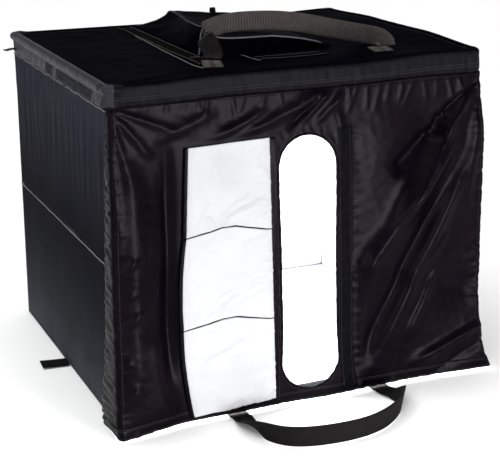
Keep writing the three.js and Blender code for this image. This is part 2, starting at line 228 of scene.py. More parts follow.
def cloth_finish(
    name, dark, light, rough, weave=0.9, weave_depth=0.05, crinkle=7.0, crinkle_depth=0.25,
    sheen=0.1, specular=0.3, patch=90.0, dusty=None, rubbed=None, worn_from=(0.42, 0.62),
):
    """Woven cloth: colour that varies in patches and thread by thread, a plain weave, small
    crinkles, and a roughness that varies with both. dusty is its colour near the
    floor, a painted light; rubbed is its colour above worn_from, both in metres of height."""
    t = Tree(name)
    coords = t.node("ShaderNodeTexCoord")
    solid = coords.outputs["Object"]
    flat = coords.outputs["UV"]
    warp = t.wave(flat, weave, "X")
    weft = t.wave(flat, weave, "Y")
    threads = t.math("MULTIPLY", warp, weft)
    patches = t.noise(solid, patch, 4.0)
    fibre = t.noise(flat, weave * 1.7, 2.0)
    mixed = t.math("ADD", t.math("MULTIPLY", patches, 0.75), t.math("MULTIPLY", fibre, 0.25))
    tint = t.blend(t.between(mixed, 0, 1), dark, light)
    height = t.node("ShaderNodeSeparateXYZ", {0: solid}).outputs["Z"]
    # Painted light: the cloth turns lighter towards the floor, in patches.
    if dusty:
        low = t.math("MULTIPLY", t.between(height, 1, 0, 0.0, 0.3), t.between(patches, 0.75, 1.0))
        tint = t.blend(t.math("MULTIPLY", low, low), tint, dusty)
    # Colour above a height: on the flap lining a painted shade, on the sides lighter patches.
    if rubbed:
        high = t.math("MULTIPLY", t.between(height, 0, 1, *worn_from), t.between(patches, 0.7, 1.0))
        tint = t.blend(high, tint, rubbed)
    t.link(tint, "Base Color")
    t.link(t.between(mixed, rough[0], rough[1]), "Roughness")
    creased = t.bump(t.noise(solid, crinkle, 5.0, 0.6), crinkle_depth)
    t.link(t.bump(threads, weave_depth, creased), "Normal")
    t.shader.inputs["Sheen Weight"].default_value = sheen
    t.shader.inputs["Sheen Roughness"].default_value = 0.35
    t.shader.inputs["Specular IOR Level"].default_value = specular
    return t.material


def webbing_finish(name, dark, light):
    """Ribbed webbing: a herringbone of thick yarn, lighter where it is rubbed."""
    t = Tree(name)
    flat = t.node("ShaderNodeTexCoord").outputs["UV"]
    ribs = t.wave(flat, 3.4, "X", 0.3)
    twill = t.wave(flat, 1.3, "DIAGONAL", 0.2)
    yarn = t.math("ADD", t.math("MULTIPLY", ribs, 0.8), t.math("MULTIPLY", twill, 0.2))
    worn = t.noise(flat, 16.0, 5.0)
    mixed = t.math("ADD", t.math("MULTIPLY", yarn, 0.7), t.math("MULTIPLY", worn, 0.3))
    t.link(t.blend(t.between(mixed, 0, 1, 0.26, 0.72), dark, light), "Base Color")
    t.link(t.between(mixed, 0.9, 0.6), "Roughness")
    t.link(t.bump(yarn, 0.25, t.bump(worn, 0.3)), "Normal")
    t.shader.inputs["Specular IOR Level"].default_value = 0.08
    return t.material


PILE_GRAIN = 1.1


def pile_finish(name, dark, light):
    """Hook or loop tape: a coarse pile."""
    t = Tree(name)
    flat = t.node("ShaderNodeTexCoord").outputs["UV"]
    cells = t.node(
        "ShaderNodeTexVoronoi", {"Vector": flat, "Scale": 1 / (PILE_GRAIN * MM), "Randomness": 0.8}
    ).outputs["Distance"]
    worn = t.noise(flat, 14.0, 4.0)
    mixed = t.math("ADD", t.math("MULTIPLY", cells, 0.6), t.math("MULTIPLY", worn, 0.5))
    t.link(t.blend(t.between(mixed, 0, 1, 0.25, 0.7), light, dark), "Base Color")
    t.link(t.between(worn, 0.8, 1.0), "Roughness")
    t.link(t.bump(cells, 0.6), "Normal")
    t.shader.inputs["Specular IOR Level"].default_value = 0.01
    return t.material


def moulded_finish(name, dark, light, rough, grain=0.8):
    """Boards, rods, elbows and thread: a fine grain with scuffs."""
    t = Tree(name)
    solid = t.node("ShaderNodeTexCoord").outputs["Object"]
    scuffs = t.noise(solid, 24.0, 6.0, 0.7)
    fine = t.noise(solid, grain, 3.0)
    t.link(t.blend(t.between(scuffs, 0, 1), dark, light), "Base Color")
    t.link(t.between(scuffs, rough[0], rough[1]), "Roughness")
    t.link(t.bump(fine, 0.05), "Normal")
    return t.material


def nylon(name, dark, light, rough, specular, **more):
    return cloth_finish(f"{name} nylon", dark, light, rough, specular=specular, sheen=0.0, **more)


def lining_finish(name, dark, light, specular, **more):
    return cloth_finish(
        name, dark, light, (0.42, 0.6), weave=0.7, weave_depth=0.02, crinkle=14.0, crinkle_depth=0.22,
        sheen=0.05, specular=specular, **more,
    )


def thread_finish(name, dark, light):
    return moulded_finish(name, dark, light, (0.6, 0.8), grain=0.5)


LOOKS = {
    "lid": nylon("lid", (0.0004, 0.0004, 0.0011), (0.0015, 0.0014, 0.0027), (0.5, 0.66), 0.002),
    "rim": nylon("rim", (0.0018, 0.0017, 0.0022), (0.0044, 0.0041, 0.005), (0.36, 0.5), 0.029),
    # The rim's left face: a lighter copy of the rim nylon, a painted highlight where the lamps light it.
    "lit rim": nylon("lit rim", (0.0105, 0.0105, 0.0135), (0.024, 0.0235, 0.029), (0.34, 0.48), 0.08),
    "curtain": nylon(
        "curtain", (0.0006, 0.0002, 0.0008), (0.003, 0.0016, 0.0036), (0.25, 0.34), 0.034,
        crinkle=9.0, crinkle_depth=0.2,
    ),
    # Side nylon: lighter towards the floor, a painted light; lighter in patches from 0.34 m up.
    "side": nylon(
        "side", (0.0012, 0.0013, 0.0036), (0.0028, 0.003, 0.0066), (0.38, 0.5), 0.003,
        dusty=(0.052, 0.054, 0.063), rubbed=(0.03, 0.031, 0.041), worn_from=(0.34, 0.66),
    ),
    "back": nylon("back", (0.0026, 0.0028, 0.0052), (0.0066, 0.007, 0.0112), (0.38, 0.5), 0.006),
    # Flap lining: darker from 0.14 m up to 0.46 m, a painted shade that evens out the brighter light on the upper
    # flaps.
    "flap white": lining_finish(
        "flap lining", (0.405, 0.413, 0.428), (0.442, 0.447, 0.456), 0.3,
        rubbed=(0.335, 0.341, 0.352), worn_from=(0.14, 0.46),
    ),
    "white": lining_finish("white lining", (0.43, 0.44, 0.458), (0.475, 0.48, 0.492), 0.35),
    "piping": cloth_finish("piping", (0.06, 0.06, 0.07), (0.13, 0.13, 0.145), (0.6, 0.75), weave=0.8, crinkle=4.0),
    "webbing": webbing_finish("webbing", (0.0035, 0.003, 0.003), (0.06, 0.054, 0.052)),
    "dark webbing": webbing_finish("dark webbing", (0.0006, 0.0005, 0.0005), (0.008, 0.007, 0.007)),
    "hook": pile_finish("hook tape", (0.0009, 0.0008, 0.0006), (0.0045, 0.004, 0.0028)),
    "loop": pile_finish("loop tape", (0.002, 0.0019, 0.0024), (0.008, 0.0075, 0.009)),
    "rim loop": pile_finish("rim loop tape", (0.012, 0.012, 0.015), (0.05, 0.05, 0.06)),
    "thread": thread_finish("thread", (0.09, 0.088, 0.1), (0.17, 0.165, 0.18)),
    "grey thread": thread_finish("grey thread", (0.35, 0.35, 0.4), (0.5, 0.5, 0.55)),
    "black thread": thread_finish("black thread", (0.012, 0.012, 0.013), (0.03, 0.03, 0.032)),
    "board": moulded_finish("board", (0.4, 0.41, 0.42), (0.55, 0.56, 0.57), (0.6, 0.8), grain=3.0),
    "rod": moulded_finish("rod", (0.02, 0.02, 0.022), (0.06, 0.06, 0.062), (0.3, 0.5)),
    "elbow": moulded_finish("elbow", (0.01, 0.01, 0.011), (0.03, 0.03, 0.031), (0.4, 0.6)),
}

# ---------------------------------------------------------------- mesh making


def add_piece(name, points, faces, looks, body, slot, stands_for=(), which=None, flat=None):
    """A mesh that rides on a body. looks is one look or several, and which says, face by face,
    which of them it has. flat gives each vertex its place in the uncut cloth."""
    points = np.asarray(points, float)
    used, first = np.unique(np.concatenate([np.asarray(f) for f in faces]), return_inverse=True)
    at, tidy = 0, []
    for face in faces:
        tidy.append(first[at : at + len(face)].tolist())
        at += len(face)
    mesh = bpy.data.meshes.new(name)
    mesh.from_pydata((points[used] * MM).tolist(), [], tidy)
    for look in [looks] if isinstance(looks, str) else looks:
        mesh.materials.append(LOOKS[look])
    if which is not None:
        mesh.polygons.foreach_set("material_index", np.asarray(which, np.int32))
    mesh.polygons.foreach_set("use_smooth", np.full(len(tidy), True))
    layer = mesh.uv_layers.new(name="cloth")
    where = np.asarray(flat, float)[used] * MM if flat is not None else points[used][:, :2] * MM
    index = np.zeros(len(mesh.loops), np.int32)
    mesh.loops.foreach_get("vertex_index", index)
    layer.data.foreach_set("uv", where[index].astype(np.float32).reshape(-1))
    mesh.update()
    piece = bpy.data.objects.new(name, mesh)
    bpy.context.scene.collection.objects.link(piece)
    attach(piece, body)
    if stands_for:
        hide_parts(*stands_for)
    return piece


def thicken(piece, thickness):
    """The sheet's thickness, half on each side of its surface."""
    shell = piece.modifiers.new("thickness", "SOLIDIFY")
    shell.thickness = thickness * MM
    shell.offset = 0.0
    shell.use_even_offset = False
    return piece


def grid_faces(rows, columns, keep=None, around=False):
    r, c = np.meshgrid(np.arange(rows - 1), np.arange(columns if around else columns - 1), indexing="ij")
    here, below, following = r * columns, (r + 1) * columns, (c + 1) % columns
    quads = np.stack([here + c, here + following, below + following, below + c], -1)
    return quads[keep].tolist() if keep is not None else quads.reshape(-1, 4).tolist()


def tube_faces(rings, sides):
    """Faces of a tube with both its ends closed."""
    last = (rings - 1) * sides
    ends = [list(range(sides))[::-1], [last + k for k in range(sides)]]
    return grid_faces(rings, sides, around=True) + ends


def stadium(hole, grow):
    """The middle, half width, top and bottom of a tall opening with round ends."""
    middle, half, top, bottom = hole
    return middle, half + grow, top - grow, bottom + grow


def waist(v, hole):
    """The opening narrows a little below its middle."""
    return 1 - 0.05 * smooth((v - hole[2] - 90) / 160) * smooth((hole[3] - 40 - v) / 90)


def cut(u, v, hole):
    """Grid points inside the opening, moved to its edge, and which quads stay."""
    middle, half, top, bottom = hole
    core = np.clip(v, top + half, bottom - half)
    away = np.hypot(u - middle, v - core)
    reach = half * waist(v, hole)
    inside = away < reach
    keep = ~(inside[:-1, :-1] & inside[1:, :-1] & inside[:-1, 1:] & inside[1:, 1:])
    scale = np.where(inside, reach / np.maximum(away, 1e-6), 1.0)
    return middle + (u - middle) * scale, core + (v - core) * scale, keep


def outline(hole, steps=20):
    """The opening's edge as (across, down) points, once round."""
    middle, half, top, bottom = hole
    turn = np.linspace(0, math.pi, steps)
    upper = np.stack([middle + half * np.cos(turn), top + half - half * np.sin(turn)], 1)
    lower = np.stack([middle - half * np.cos(turn), bottom - half + half * np.sin(turn)], 1)
    left = [[middle - half, v] for v in np.linspace(top + half, bottom - half, 40)[1:-1]]
    right = [[middle + half, v] for v in np.linspace(bottom - half, top + half, 40)[1:-1]]
    ring = np.vstack([upper, left, lower, right, upper[:1]])
    ring[:, 0] = middle + (ring[:, 0] - middle) * waist(ring[:, 1], hole)
    return ring


def cloth(name, at, across, down, step, look, body, slot, stands_for, thickness=1.0, hole=None, out=0.0):
    """A sheet of cloth over a range of its own coordinates, with at most one opening."""
    counts = (int(round((span[1] - span[0]) / step)) + 1 for span in (across, down))
    u, v = np.meshgrid(*(np.linspace(*span, count) for span, count in zip((across, down), counts)))
    keep = None
    if hole is not None:
        u, v, keep = cut(u, v, hole)
    points = at(u, v, out).reshape(-1, 3)
    faces = grid_faces(*u.shape, keep)
    flat = np.stack([u.reshape(-1), v.reshape(-1)], 1)
    return thicken(add_piece(name, points, faces, look, body, slot, stands_for, flat=flat), thickness)


class Threads:
    """Stitches gathered into one piece."""

    def __init__(self):
        self.points, self.faces = [], []

    def row(self, at, line, out=0.7, pitch=4.2, length=3.0, radius=0.42):
        """Stitches along a line of the cloth's own coordinates."""
        path = evenly(line, pitch)
        lead = path[1:] - path[:-1]
        start = at(path[:-1, 0], path[:-1, 1], out)
        ends = path[:-1] + lead * length / pitch
        finish = at(ends[:, 0], ends[:, 1], out)
        up = unit(at(path[:-1, 0], path[:-1, 1], out + 1) - start)
        run = finish - start
        aside = unit(np.cross(up, run))
        for p, d, n, s in zip(start, run, up, aside):
            base = len(self.points)
            ring = [p]
            for share in (0.2, 0.8):
                middle = p + d * share + n * radius * 0.35
                ring += [middle + s * radius, middle + n * radius, middle - s * radius, middle - n * radius * 0.6]
            ring.append(p + d)
            self.points += ring
            for k in range(4):
                here, there = 1 + k, 1 + (k + 1) % 4
                self.faces += [
                    (base, base + there, base + here),
                    (base + here, base + there, base + there + 4, base + here + 4),
                    (base + 9, base + here + 4, base + there + 4),
                ]

    def piece(self, name, body, slot, look="thread"):
        return add_piece(name, self.points, self.faces, look, body, slot)


CORD_STEP = 2.2
CORD_SIDES = 10


def piping(name, path, radius, body, stands_for, look="piping", wander=0.35, seed=1):
    """Corded piping: a closed tube whose cord swells between the stitches that hold it."""
    path = evenly(path, CORD_STEP)
    walked = np.arange(len(path)) * CORD_STEP
    size = radius * (1 + 0.1 * np.cos(walked / (2 * CORD_STEP) * TAU))
    path = path + np.stack([ripple(walked, walked * 0, 40, seed + k) for k in range(3)], 1) * wander
    along = unit(np.gradient(path, axis=0))
    side = unit(np.cross(along, np.array([0, 0, 1.0])))
    turn = np.arange(CORD_SIDES) / CORD_SIDES * TAU
    top = np.cross(side, along)
    spoke = np.cos(turn)[None, :, None] * side[:, None] + np.sin(turn)[None, :, None] * top[:, None]
    points = (path[:, None] + size[:, None, None] * spoke).reshape(-1, 3)
    round_cord = np.arange(CORD_SIDES) * radius * 0.6
    flat = np.stack([np.repeat(walked, CORD_SIDES), np.tile(round_cord, len(path))], 1)
    faces = tube_faces(len(path), CORD_SIDES)
    return add_piece(name, points, faces, look, body, "seam_piping", stands_for, flat=flat)


WEBBING_WIDTH = 38.0


def ribbon(
    name, left, right, thickness, body, stands_for, width=WEBBING_WIDTH, rib=3.4, rib_depth=0.28, steps=24,
    look="webbing", unrubbed=0.0,
):
    """Webbing between two edge curves, with ribs across it and thicker woven edges. It has its
    look, but for the first unrubbed millimetres, which are dark: a painted shade."""
    a, b = spline(left, steps), spline(right, steps)
    middle = evenly(np.hstack([(a + b) / 2, unit(a - b)]), 0.85)
    centre, aside = middle[:, :3], unit(middle[:, 3:])
    heading = unit(np.gradient(centre, axis=0))
    aside = unit(aside - heading * np.sum(aside * heading, axis=1, keepdims=True))
    face = np.cross(heading, aside)
    across = np.linspace(-1, 1, 13)
    walked = np.concatenate([[0], np.cumsum(np.linalg.norm(np.diff(centre, axis=0), axis=1))])
    edge = smooth((np.abs(across) - 0.8) / 0.15)
    ribs = np.cos((walked[:, None] + np.abs(across)[None] * 2.0) / rib * TAU) * (1 - edge)
    half = thickness / 2 * (1 + 0.3 * edge) * np.where(np.abs(across) > 0.99, 0.35, 1.0)
    rows = []
    for sign in (1, -1):
        lift = sign * (half[None] + rib_depth * ribs)
        spot = centre[:, None] + aside[:, None] * (across[None, :, None] * width / 2)
        spot = spot + face[:, None] * lift[..., None]
        rows.append(spot if sign > 0 else spot[:, ::-1])
    ring = np.concatenate(rows, axis=1)
    count = ring.shape[1]
    faces = grid_faces(len(ring), count, around=True)
    last = (len(ring) - 1) * count
    for k in range(len(across) - 1):
        faces += [
            [k, count - 1 - k, count - 2 - k, k + 1],
            [last + k + 1, last + count - 2 - k, last + count - 1 - k, last + k],
        ]
    spread = np.concatenate([across, across[::-1]]) * width / 2
    flat = np.stack([np.repeat(walked, count), np.tile(spread, len(ring))], 1)
    # Faces of the first millimetres take the dark webbing: a painted shade.
    row = np.array([face[0] for face in faces]) // count
    which = walked[np.minimum(row, len(walked) - 1)] < unrubbed
    looks = [look, "dark webbing"]
    return add_piece(name, ring.reshape(-1, 3), faces, looks, body, "webbing", stands_for, which * 1, flat)


def straight_ribbon(name, path, half, *settings, **more):
    """Webbing that follows a path, with its edges half a width to each side of it."""
    edges = ([p + np.array(way) for p in path] for way in (half, [-k for k in half]))
    return ribbon(name, *edges, *settings, **more)


TAPE_STEP = 3.0


def tape(name, at, across, down, out, thickness, look, body, slot, stands_for):
    """A narrow strip sewn on a cloth: it follows the cloth, with rounded edges."""
    counts = (max(5, int((span[1] - span[0]) / TAPE_STEP) + 1) for span in (across, down))
    u, v = np.meshgrid(*(np.linspace(*span, count) for span, count in zip((across, down), counts)))
    edge = np.minimum.reduce([u - across[0], across[1] - u, v - down[0], down[1] - v])
    soft = thickness * (0.35 + 0.65 * smooth(edge / 2.0))
    pile = 0.12 * thickness * ripple(u, v, 5.0, 77)
    upper = at(u, v, out + soft + pile)
    lower = at(u, v, np.full(u.shape, out))
    rows, columns = u.shape
    size = rows * columns
    faces = grid_faces(rows, columns)
    faces += [[size + k for k in f[::-1]] for f in grid_faces(rows, columns)]
    rim = (
        [k for k in range(columns)]
        + [r * columns + columns - 1 for r in range(1, rows)]
        + [(rows - 1) * columns + k for k in range(columns - 2, -1, -1)]
        + [r * columns for r in range(rows - 2, 0, -1)]
    )
    for here, there in zip(rim, rim[1:] + rim[:1]):
        faces.append([here, size + here, size + there, there])
    points = np.concatenate([upper.reshape(-1, 3), lower.reshape(-1, 3)])
    flat = np.tile(np.stack([u.reshape(-1), v.reshape(-1)], 1), (2, 1))
    return add_piece(name, points, faces, look, body, slot, stands_for, flat=flat)


STRIP_STEP = 3.0
STRIP_SIDES = 10


def strip_along(name, at, line, width, height, look, body, slot):
    """A bound edge: a flattened round strip along a line of the cloth."""
    path = evenly(line, STRIP_STEP)
    lead = unit(np.gradient(path, axis=0))
    normal = np.stack([-lead[:, 1], lead[:, 0]], 1)
    turn = np.linspace(0, TAU, STRIP_SIDES, endpoint=False)
    rows = []
    for angle in turn:
        u = path[:, 0] + normal[:, 0] * width / 2 * math.cos(angle)
        v = path[:, 1] + normal[:, 1] * width / 2 * math.cos(angle)
        rows.append(at(u, v, height * math.sin(angle)))
    ring = np.stack(rows, 1)
    walked = np.arange(len(ring)) * STRIP_STEP
    flat = np.stack([np.repeat(walked, STRIP_SIDES), np.tile(turn * width / 3, len(ring))], 1)
    faces = tube_faces(len(ring), STRIP_SIDES)
    return add_piece(name, ring.reshape(-1, 3), faces, look, body, slot, flat=flat)


def wrap(value, low, high, radius):
    """Cloth that turns over both edges of a board: where it lies, and how far round it is."""
    over = np.maximum(value - (high - radius), 0) - np.maximum((low + radius) - value, 0)
    turn = np.minimum(np.abs(over) / radius, math.pi / 2)
    place = np.clip(value, low + radius, high - radius) + np.sign(over) * radius * np.sin(turn)
    depth = radius * (1 - np.cos(turn)) + np.maximum(np.abs(over) - radius * math.pi / 2, 0)
    return place, depth


# ---------------------------------------------------------------- frame sizes

RIM_LOW, RIM_HIGH = cad("lid_rim")
HALF_WIDTH, HALF_DEPTH = RIM_HIGH[0], RIM_HIGH[1]
RIM_BOTTOM, LID_TOP = RIM_LOW[2], RIM_HIGH[2]
UPPER_SIDE, LOWER_SIDE = cad("left_upper_cover"), cad("left_lower_cover")
SIDE_FACE, SIDE_FRONT = -UPPER_SIDE[0][0], UPPER_SIDE[0][1]
UPPER_Z, LOWER_Z = ((low[2], high[2]) for low, high in (UPPER_SIDE, LOWER_SIDE))
CORD_LOW, CORD_HIGH = cad("curtain_hinge_cord")
HINGE = (CORD_LOW + CORD_HIGH) / 2
TILT = math.radians(4.4)


def raised(x, y):
    """The lid's cloth stands a little higher towards its right end, most at the front."""
    puffed = 7.0 * smooth((x - 250) / 110) * smooth((y + 290) / 200) * smooth((300 - y) / 200)
    front = 6.0 * smooth((x + 330) / 200) * smooth((372 - x) / 150) * np.exp(-(((y + 280) / 80) ** 2))
    return (11.0 + 4.0 * smooth((60 - y) / 300)) * smooth((x - 90) / 320) + puffed + front


# ---------------------------------------------------------------- side walls


def side_relief(y, z, upper, seed):
    """How far a side's cloth stands out from its board."""
    relief = 0.4 * ripple(y, z, 150, seed) + 0.5
    if upper:
        hang = smooth((z - UPPER_Z[0] - 40) / 190)
        fine, broad = ripple(y, z, 17, seed + 1, (1, 14)), ripple(y, z, 36, seed + 2, (1, 9))
        relief += hang * (0.9 * fine + 0.7 * broad)
        top = np.exp(-(UPPER_Z[1] - z) / 34.0)
        relief += top * (0.8 + 1.3 * ripple(y, z, 11, seed + 3, (1, 6)))
        front = np.exp(-(y - SIDE_FRONT) / 26.0)
        relief += front * 0.9 * ripple(y, z, 14, seed + 4, (5, 1))
    else:
        relief += 0.12 * ripple(y, z, 60, seed + 1, (1, 2))
        relief += np.exp(-(LOWER_Z[1] - z) / 10.0) * 0.3 * ripple(y, z, 13, seed + 3, (1, 4))
        relief += 0.9 * np.exp(-(y - SIDE_FRONT) / 18.0) * ripple(y, z, 15, seed + 4, (5, 1))
    return np.maximum(relief + 0.15 * creases(y, z, 90, seed + 5), -0.35)


def make_side(side, sign):
    for half in ("upper", "lower"):
        body = f"{side}_{half}_wall"
        upper = half == "upper"
        low, high = cad(f"{side}_{half}_cover")
        low[2], high[2] = (low[2] + 0.2, high[2] + 1.4) if upper else (low[2] - 3.8, high[2] - 0.2)
        seed = 11 if side == "left" else 41

        def at(y, z, out=0.0, low=low, high=high, upper=upper, seed=seed, sign=sign):
            y_at, y_deep = wrap(y, low[1], high[1], 3.5)
            z_at, z_deep = wrap(z, low[2], high[2], 3.0)
            deep = np.maximum(y_deep, z_deep)
            level = side_relief(y, z, upper, seed) * np.exp(-deep / 1.5)
            x = sign * (SIDE_FACE - 0.4 + level + out * np.exp(-deep / 3.0) - deep)
            return np.stack([x, y_at, z_at], -1)

        over = 5.2
        across, down = (low[1] - over, high[1] + over), (low[2] - over, high[2] + over)
        stands_for = [f"{side}_{half}_cover"]
        cover = cloth(f"{body}_cloth", at, across, down, 4.0, "side", body, "side_nylon", stands_for, 1.0)

        face_low, face_high = cad(f"{side}_{half}_lining")
        inner = sign * (abs(face_low[0] + face_high[0]) / 2)

        def lining_at(y, z, out=0.0, inner=inner, sign=sign, seed=seed):
            puff = 0.35 * ripple(y, z, 60, seed + 8) + 0.3 * creases(y, z, 90, seed + 9)
            return np.stack([np.full(y.shape, inner) - sign * (puff + out), y, z], -1)

        reach_down, reach_up = (2.0, 1.8) if upper else (2.6, 2.0)
        across = (face_low[1] - 0.4, face_high[1] + 0.6)
        down = (face_low[2] - reach_down, face_high[2] + reach_up)
        lining = cloth(
            f"{body}_white_lining", lining_at, across, down, 9.0, "white", body, "lining",
            [f"{side}_{half}_lining"], 0.7,
        )
        rows = Threads()
        for inset in (4.5, 8.5):
            rows.row(at, [(low[1] + inset, low[2] + 6), (low[1] + inset, high[2] - 6)], 0.5)
        for level in [high[2] - 9] if upper else [high[2] - 5, low[2] + 5]:
            rows.row(at, [(low[1] + 4, level), (high[1] - 4, level)], 0.5)
        rows.piece(f"{body}_stitching", body, "side_nylon", "black thread")

    crease_low, crease_high = cad(f"{side}_middle_crease_piping")
    middle = (crease_low + crease_high) / 2
    path = [(middle[0], y, middle[2]) for y in np.linspace(crease_low[1], crease_high[1], 40)]
    stands_for = [f"{side}_middle_crease_piping"]
    piping(f"{side}_middle_crease_cord", path, 1.5, f"{side}_lower_wall", stands_for, wander=0.3, seed=5)
    seam_low, seam_high = cad(f"{side}_top_seam_piping")
    seam = (seam_low + seam_high) / 2
    y = np.linspace(seam_low[1], seam_high[1], 120)
    sag = -1.4 * np.abs(np.sin((y + 30) / 21.0)) + 0.6
    path = np.stack([np.full(y.shape, seam[0]), y, seam[2] + sag], 1)
    stands_for = [f"{side}_top_seam_piping"]
    piping(f"{side}_top_seam_cord", path, 1.35, f"{side}_upper_wall", stands_for, wander=0.3, seed=6)


make_side("left", -1)
make_side("right", 1)

# ---------------------------------------------------------------- lid

RIM_RADIUS = 20.0
PLAIN_RIM = [
    (-14, 31.5), (-12.6, 33.6), (-9.4, 36.0), (-5.0, 36.9), (-1.2, 36.0), (1.2, 33.4), (2.1, 30.0), (2.7, 25.0),
    (3.0, 19.0), (2.8, 13.0), (2.3, 8.0), (1.6, 4.6), (0.9, 1.4), (0.4, -1.6), (-2.4, -2.8), (-8.5, -1.0),
]
ROLLED_RIM = [
    (-14, 31.5), (-12.8, 34.4), (-9.6, 37.6), (-5.0, 39.0), (0.0, 38.2), (3.4, 35.0), (4.6, 30.5), (3.6, 26.2),
    (0.6, 24.0), (-0.6, 21.5), (-0.8, 16.0), (-0.4, 10.0), (0.3, 5.0), (0.5, -1.2), (-2.4, -2.8), (-8.5, -1.0),
]


def rim_path(p):
    """A place round the rim, counterclockwise from the middle of the front: point and outward."""
    straight_x, straight_y = 2 * (HALF_WIDTH - RIM_RADIUS), 2 * (HALF_DEPTH - RIM_RADIUS)
    arc = RIM_RADIUS * math.pi / 2
    spans = [straight_x / 2, arc, straight_y, arc, straight_x, arc, straight_y, arc, straight_x / 2]
    starts = np.concatenate([[0], np.cumsum(spans)])
    p = np.mod(p, starts[-1])
    k = np.clip(np.searchsorted(starts, p, side="right") - 1, 0, 8)
    rest = p - starts[k]
    bent = k % 2 == 1
    heading = np.radians(np.array([-90, -90, 0, 0, 90, 90, 180, 180, 270]))[k]
    heading = heading + np.where(bent, rest / RIM_RADIUS, 0)
    outward = np.stack([np.cos(heading), np.sin(heading)], -1)
    x, y = HALF_WIDTH - RIM_RADIUS, HALF_DEPTH - RIM_RADIUS
    corner = np.array([[1, -1], [1, 1], [-1, 1], [-1, -1]])[np.clip(k // 2, 0, 3)] * np.array([x, y])
    straights = [k == n for n in (0, 2, 4, 6, 8)]
    line = np.stack([
        np.select(straights, [rest, x, x - rest, -x, rest - x], 0),
        np.select(straights, [-y, rest - y, y, y - rest, -y], 0),
    ], -1)
    return np.where(bent[..., None], corner, line) + outward * RIM_RADIUS, outward, starts[-1]


RIM_LENGTH = float(rim_path(np.zeros(1))[2])
PLAIN = evenly(spline(PLAIN_RIM, 6), 2.6)
ROLLED = resample(evenly(spline(ROLLED_RIM, 6), 1.0), len(PLAIN))
SECTION_LENGTH = float(np.sum(np.linalg.norm(np.diff(PLAIN, axis=0), axis=1)))
# The part of the section that looks like the lid, and where the left side's roll ends.
TOP_SHARE = 0.25
ROLL_END = 34


def rim_at(p, q, out=0.0):
    """p goes round the rim and q across its section, from the lid's seam down to its hem."""
    spot, outward, _ = rim_path(p)
    left = smooth((-spot[..., 0] - HALF_WIDTH + ROLL_END) / 22)
    place = np.clip(q / SECTION_LENGTH, 0, 1) * (len(PLAIN) - 1)
    index = np.arange(len(PLAIN))
    section = [
        np.interp(place, index, PLAIN[:, k]) * (1 - left) + np.interp(place, index, ROLLED[:, k]) * left
        for k in range(2)
    ]
    x, y = spot[..., 0], spot[..., 1]
    front = (outward[..., 1] < -0.7) * smooth((x + 350) / 230) * smooth((370 - x) / 130)
    wider = 1 + 3.4 * front * (q < SECTION_LENGTH / 2)
    section[0] = np.where(section[0] < 0, section[0] * wider, section[0])
    section[1] = section[1] + 2.0 * front * smooth((section[1] - 24) / 10)
    slack = 0.55 * ripple(p, q, 60, 21, (1.6, 1)) + 0.35 * ripple(p, q, 16, 22, (1, 2))
    corner = np.exp(-(((np.abs(x) - HALF_WIDTH + 8) / 26) ** 2 + ((np.abs(y) - HALF_DEPTH + 8) / 26) ** 2))
    slack = slack + corner * (1.7 + 1.5 * ripple(p, q, 13, 23, (1, 2.5)))
    hem = smooth((q - SECTION_LENGTH * 0.55) / 20)
    gathers = 0.6 * hem * ripple(p, q, 12, 24, (1, 4)) * smooth((q / SECTION_LENGTH - 0.1) * 8)
    fixed = smooth(q / 8) * smooth((SECTION_LENGTH - q) / 12)
    reach = section[0] + (slack + gathers) * fixed + out
    low_share = 0.5 * smooth(-outward[..., 1])
    height = RIM_BOTTOM + section[1] + raised(x, y) * (low_share + (1 - low_share) * smooth(section[1] / 35))
    sag = 1.4 * np.sin((x + 60) / 120) * (np.abs(outward[..., 1]) > 0.5) * hem * 0.5
    return np.stack([x + outward[..., 0] * reach, y + outward[..., 1] * reach, height + sag + 0.3 * out], -1)


RIM_STEP, RIM_ROWS = 3.6, 34
count = int(RIM_LENGTH / RIM_STEP)
round_rim, down_rim = np.meshgrid(
    np.arange(count) * RIM_LENGTH / count, np.linspace(0, SECTION_LENGTH, RIM_ROWS),
)
rim_spot, rim_outward, _ = rim_path(round_rim[:-1] + RIM_STEP / 2)
# The left faces take the lighter rim nylon, a painted highlight; the top band takes the lid's cloth.
on_left = rim_outward[..., 0] < -0.12
on_top = (down_rim[:-1] < TOP_SHARE * SECTION_LENGTH) & (rim_spot[..., 0] > ROLL_END - HALF_WIDTH)
rim = add_piece(
    "lid_rim_sleeve", rim_at(round_rim, down_rim).reshape(-1, 3), grid_faces(RIM_ROWS, count, around=True),
    ["rim", "lid", "lit rim"], "lid", "black_nylon", ["lid_rim"], np.where(on_left, 2, on_top * 1).reshape(-1),
    np.stack([round_rim.reshape(-1), down_rim.reshape(-1)], 1),
)
thicken(rim, 0.9)

LID_SEED = 31
LID_SEAM = 12.8
TOP_X, TOP_Y = HALF_WIDTH - LID_SEAM, HALF_DEPTH - LID_SEAM


def lid_at(x, y, out=0.0):
    """The lid's top cloth, drawn tight over its frame."""
    edge = np.minimum(TOP_X - np.abs(x), TOP_Y - np.abs(y))
    slack = 0.8 * ripple(x, y, 170, LID_SEED) + 0.35 * ripple(x, y, 40, LID_SEED + 1, (2, 1))
    slack += 1.6 * fold(x, y, (-372, -300), (-190, -225), 1.0, 9, 1.5)
    slack += 1.4 * fold(x, y, (-372, 296), (-230, 200), 1.0, 8, 1.6)
    slack += 1.8 * fold(x, y, (372, -296), (210, -190), 1.0, 10, 1.6)
    slack += 1.0 * fold(x, y, (-330, -262), (-260, -240), 1.0, 5)
    slack += 0.8 * creases(x, y, 120, LID_SEED + 2)
    level = LID_TOP - 1.8 + 0.6 * smooth(edge / 30) + slack * smooth(edge / 24) * 0.7
    return np.stack([x, y, level + raised(x, y) + out], -1)


HATCH_HOLE = ((-95.0, 140.0), (-85.0, 285.0))


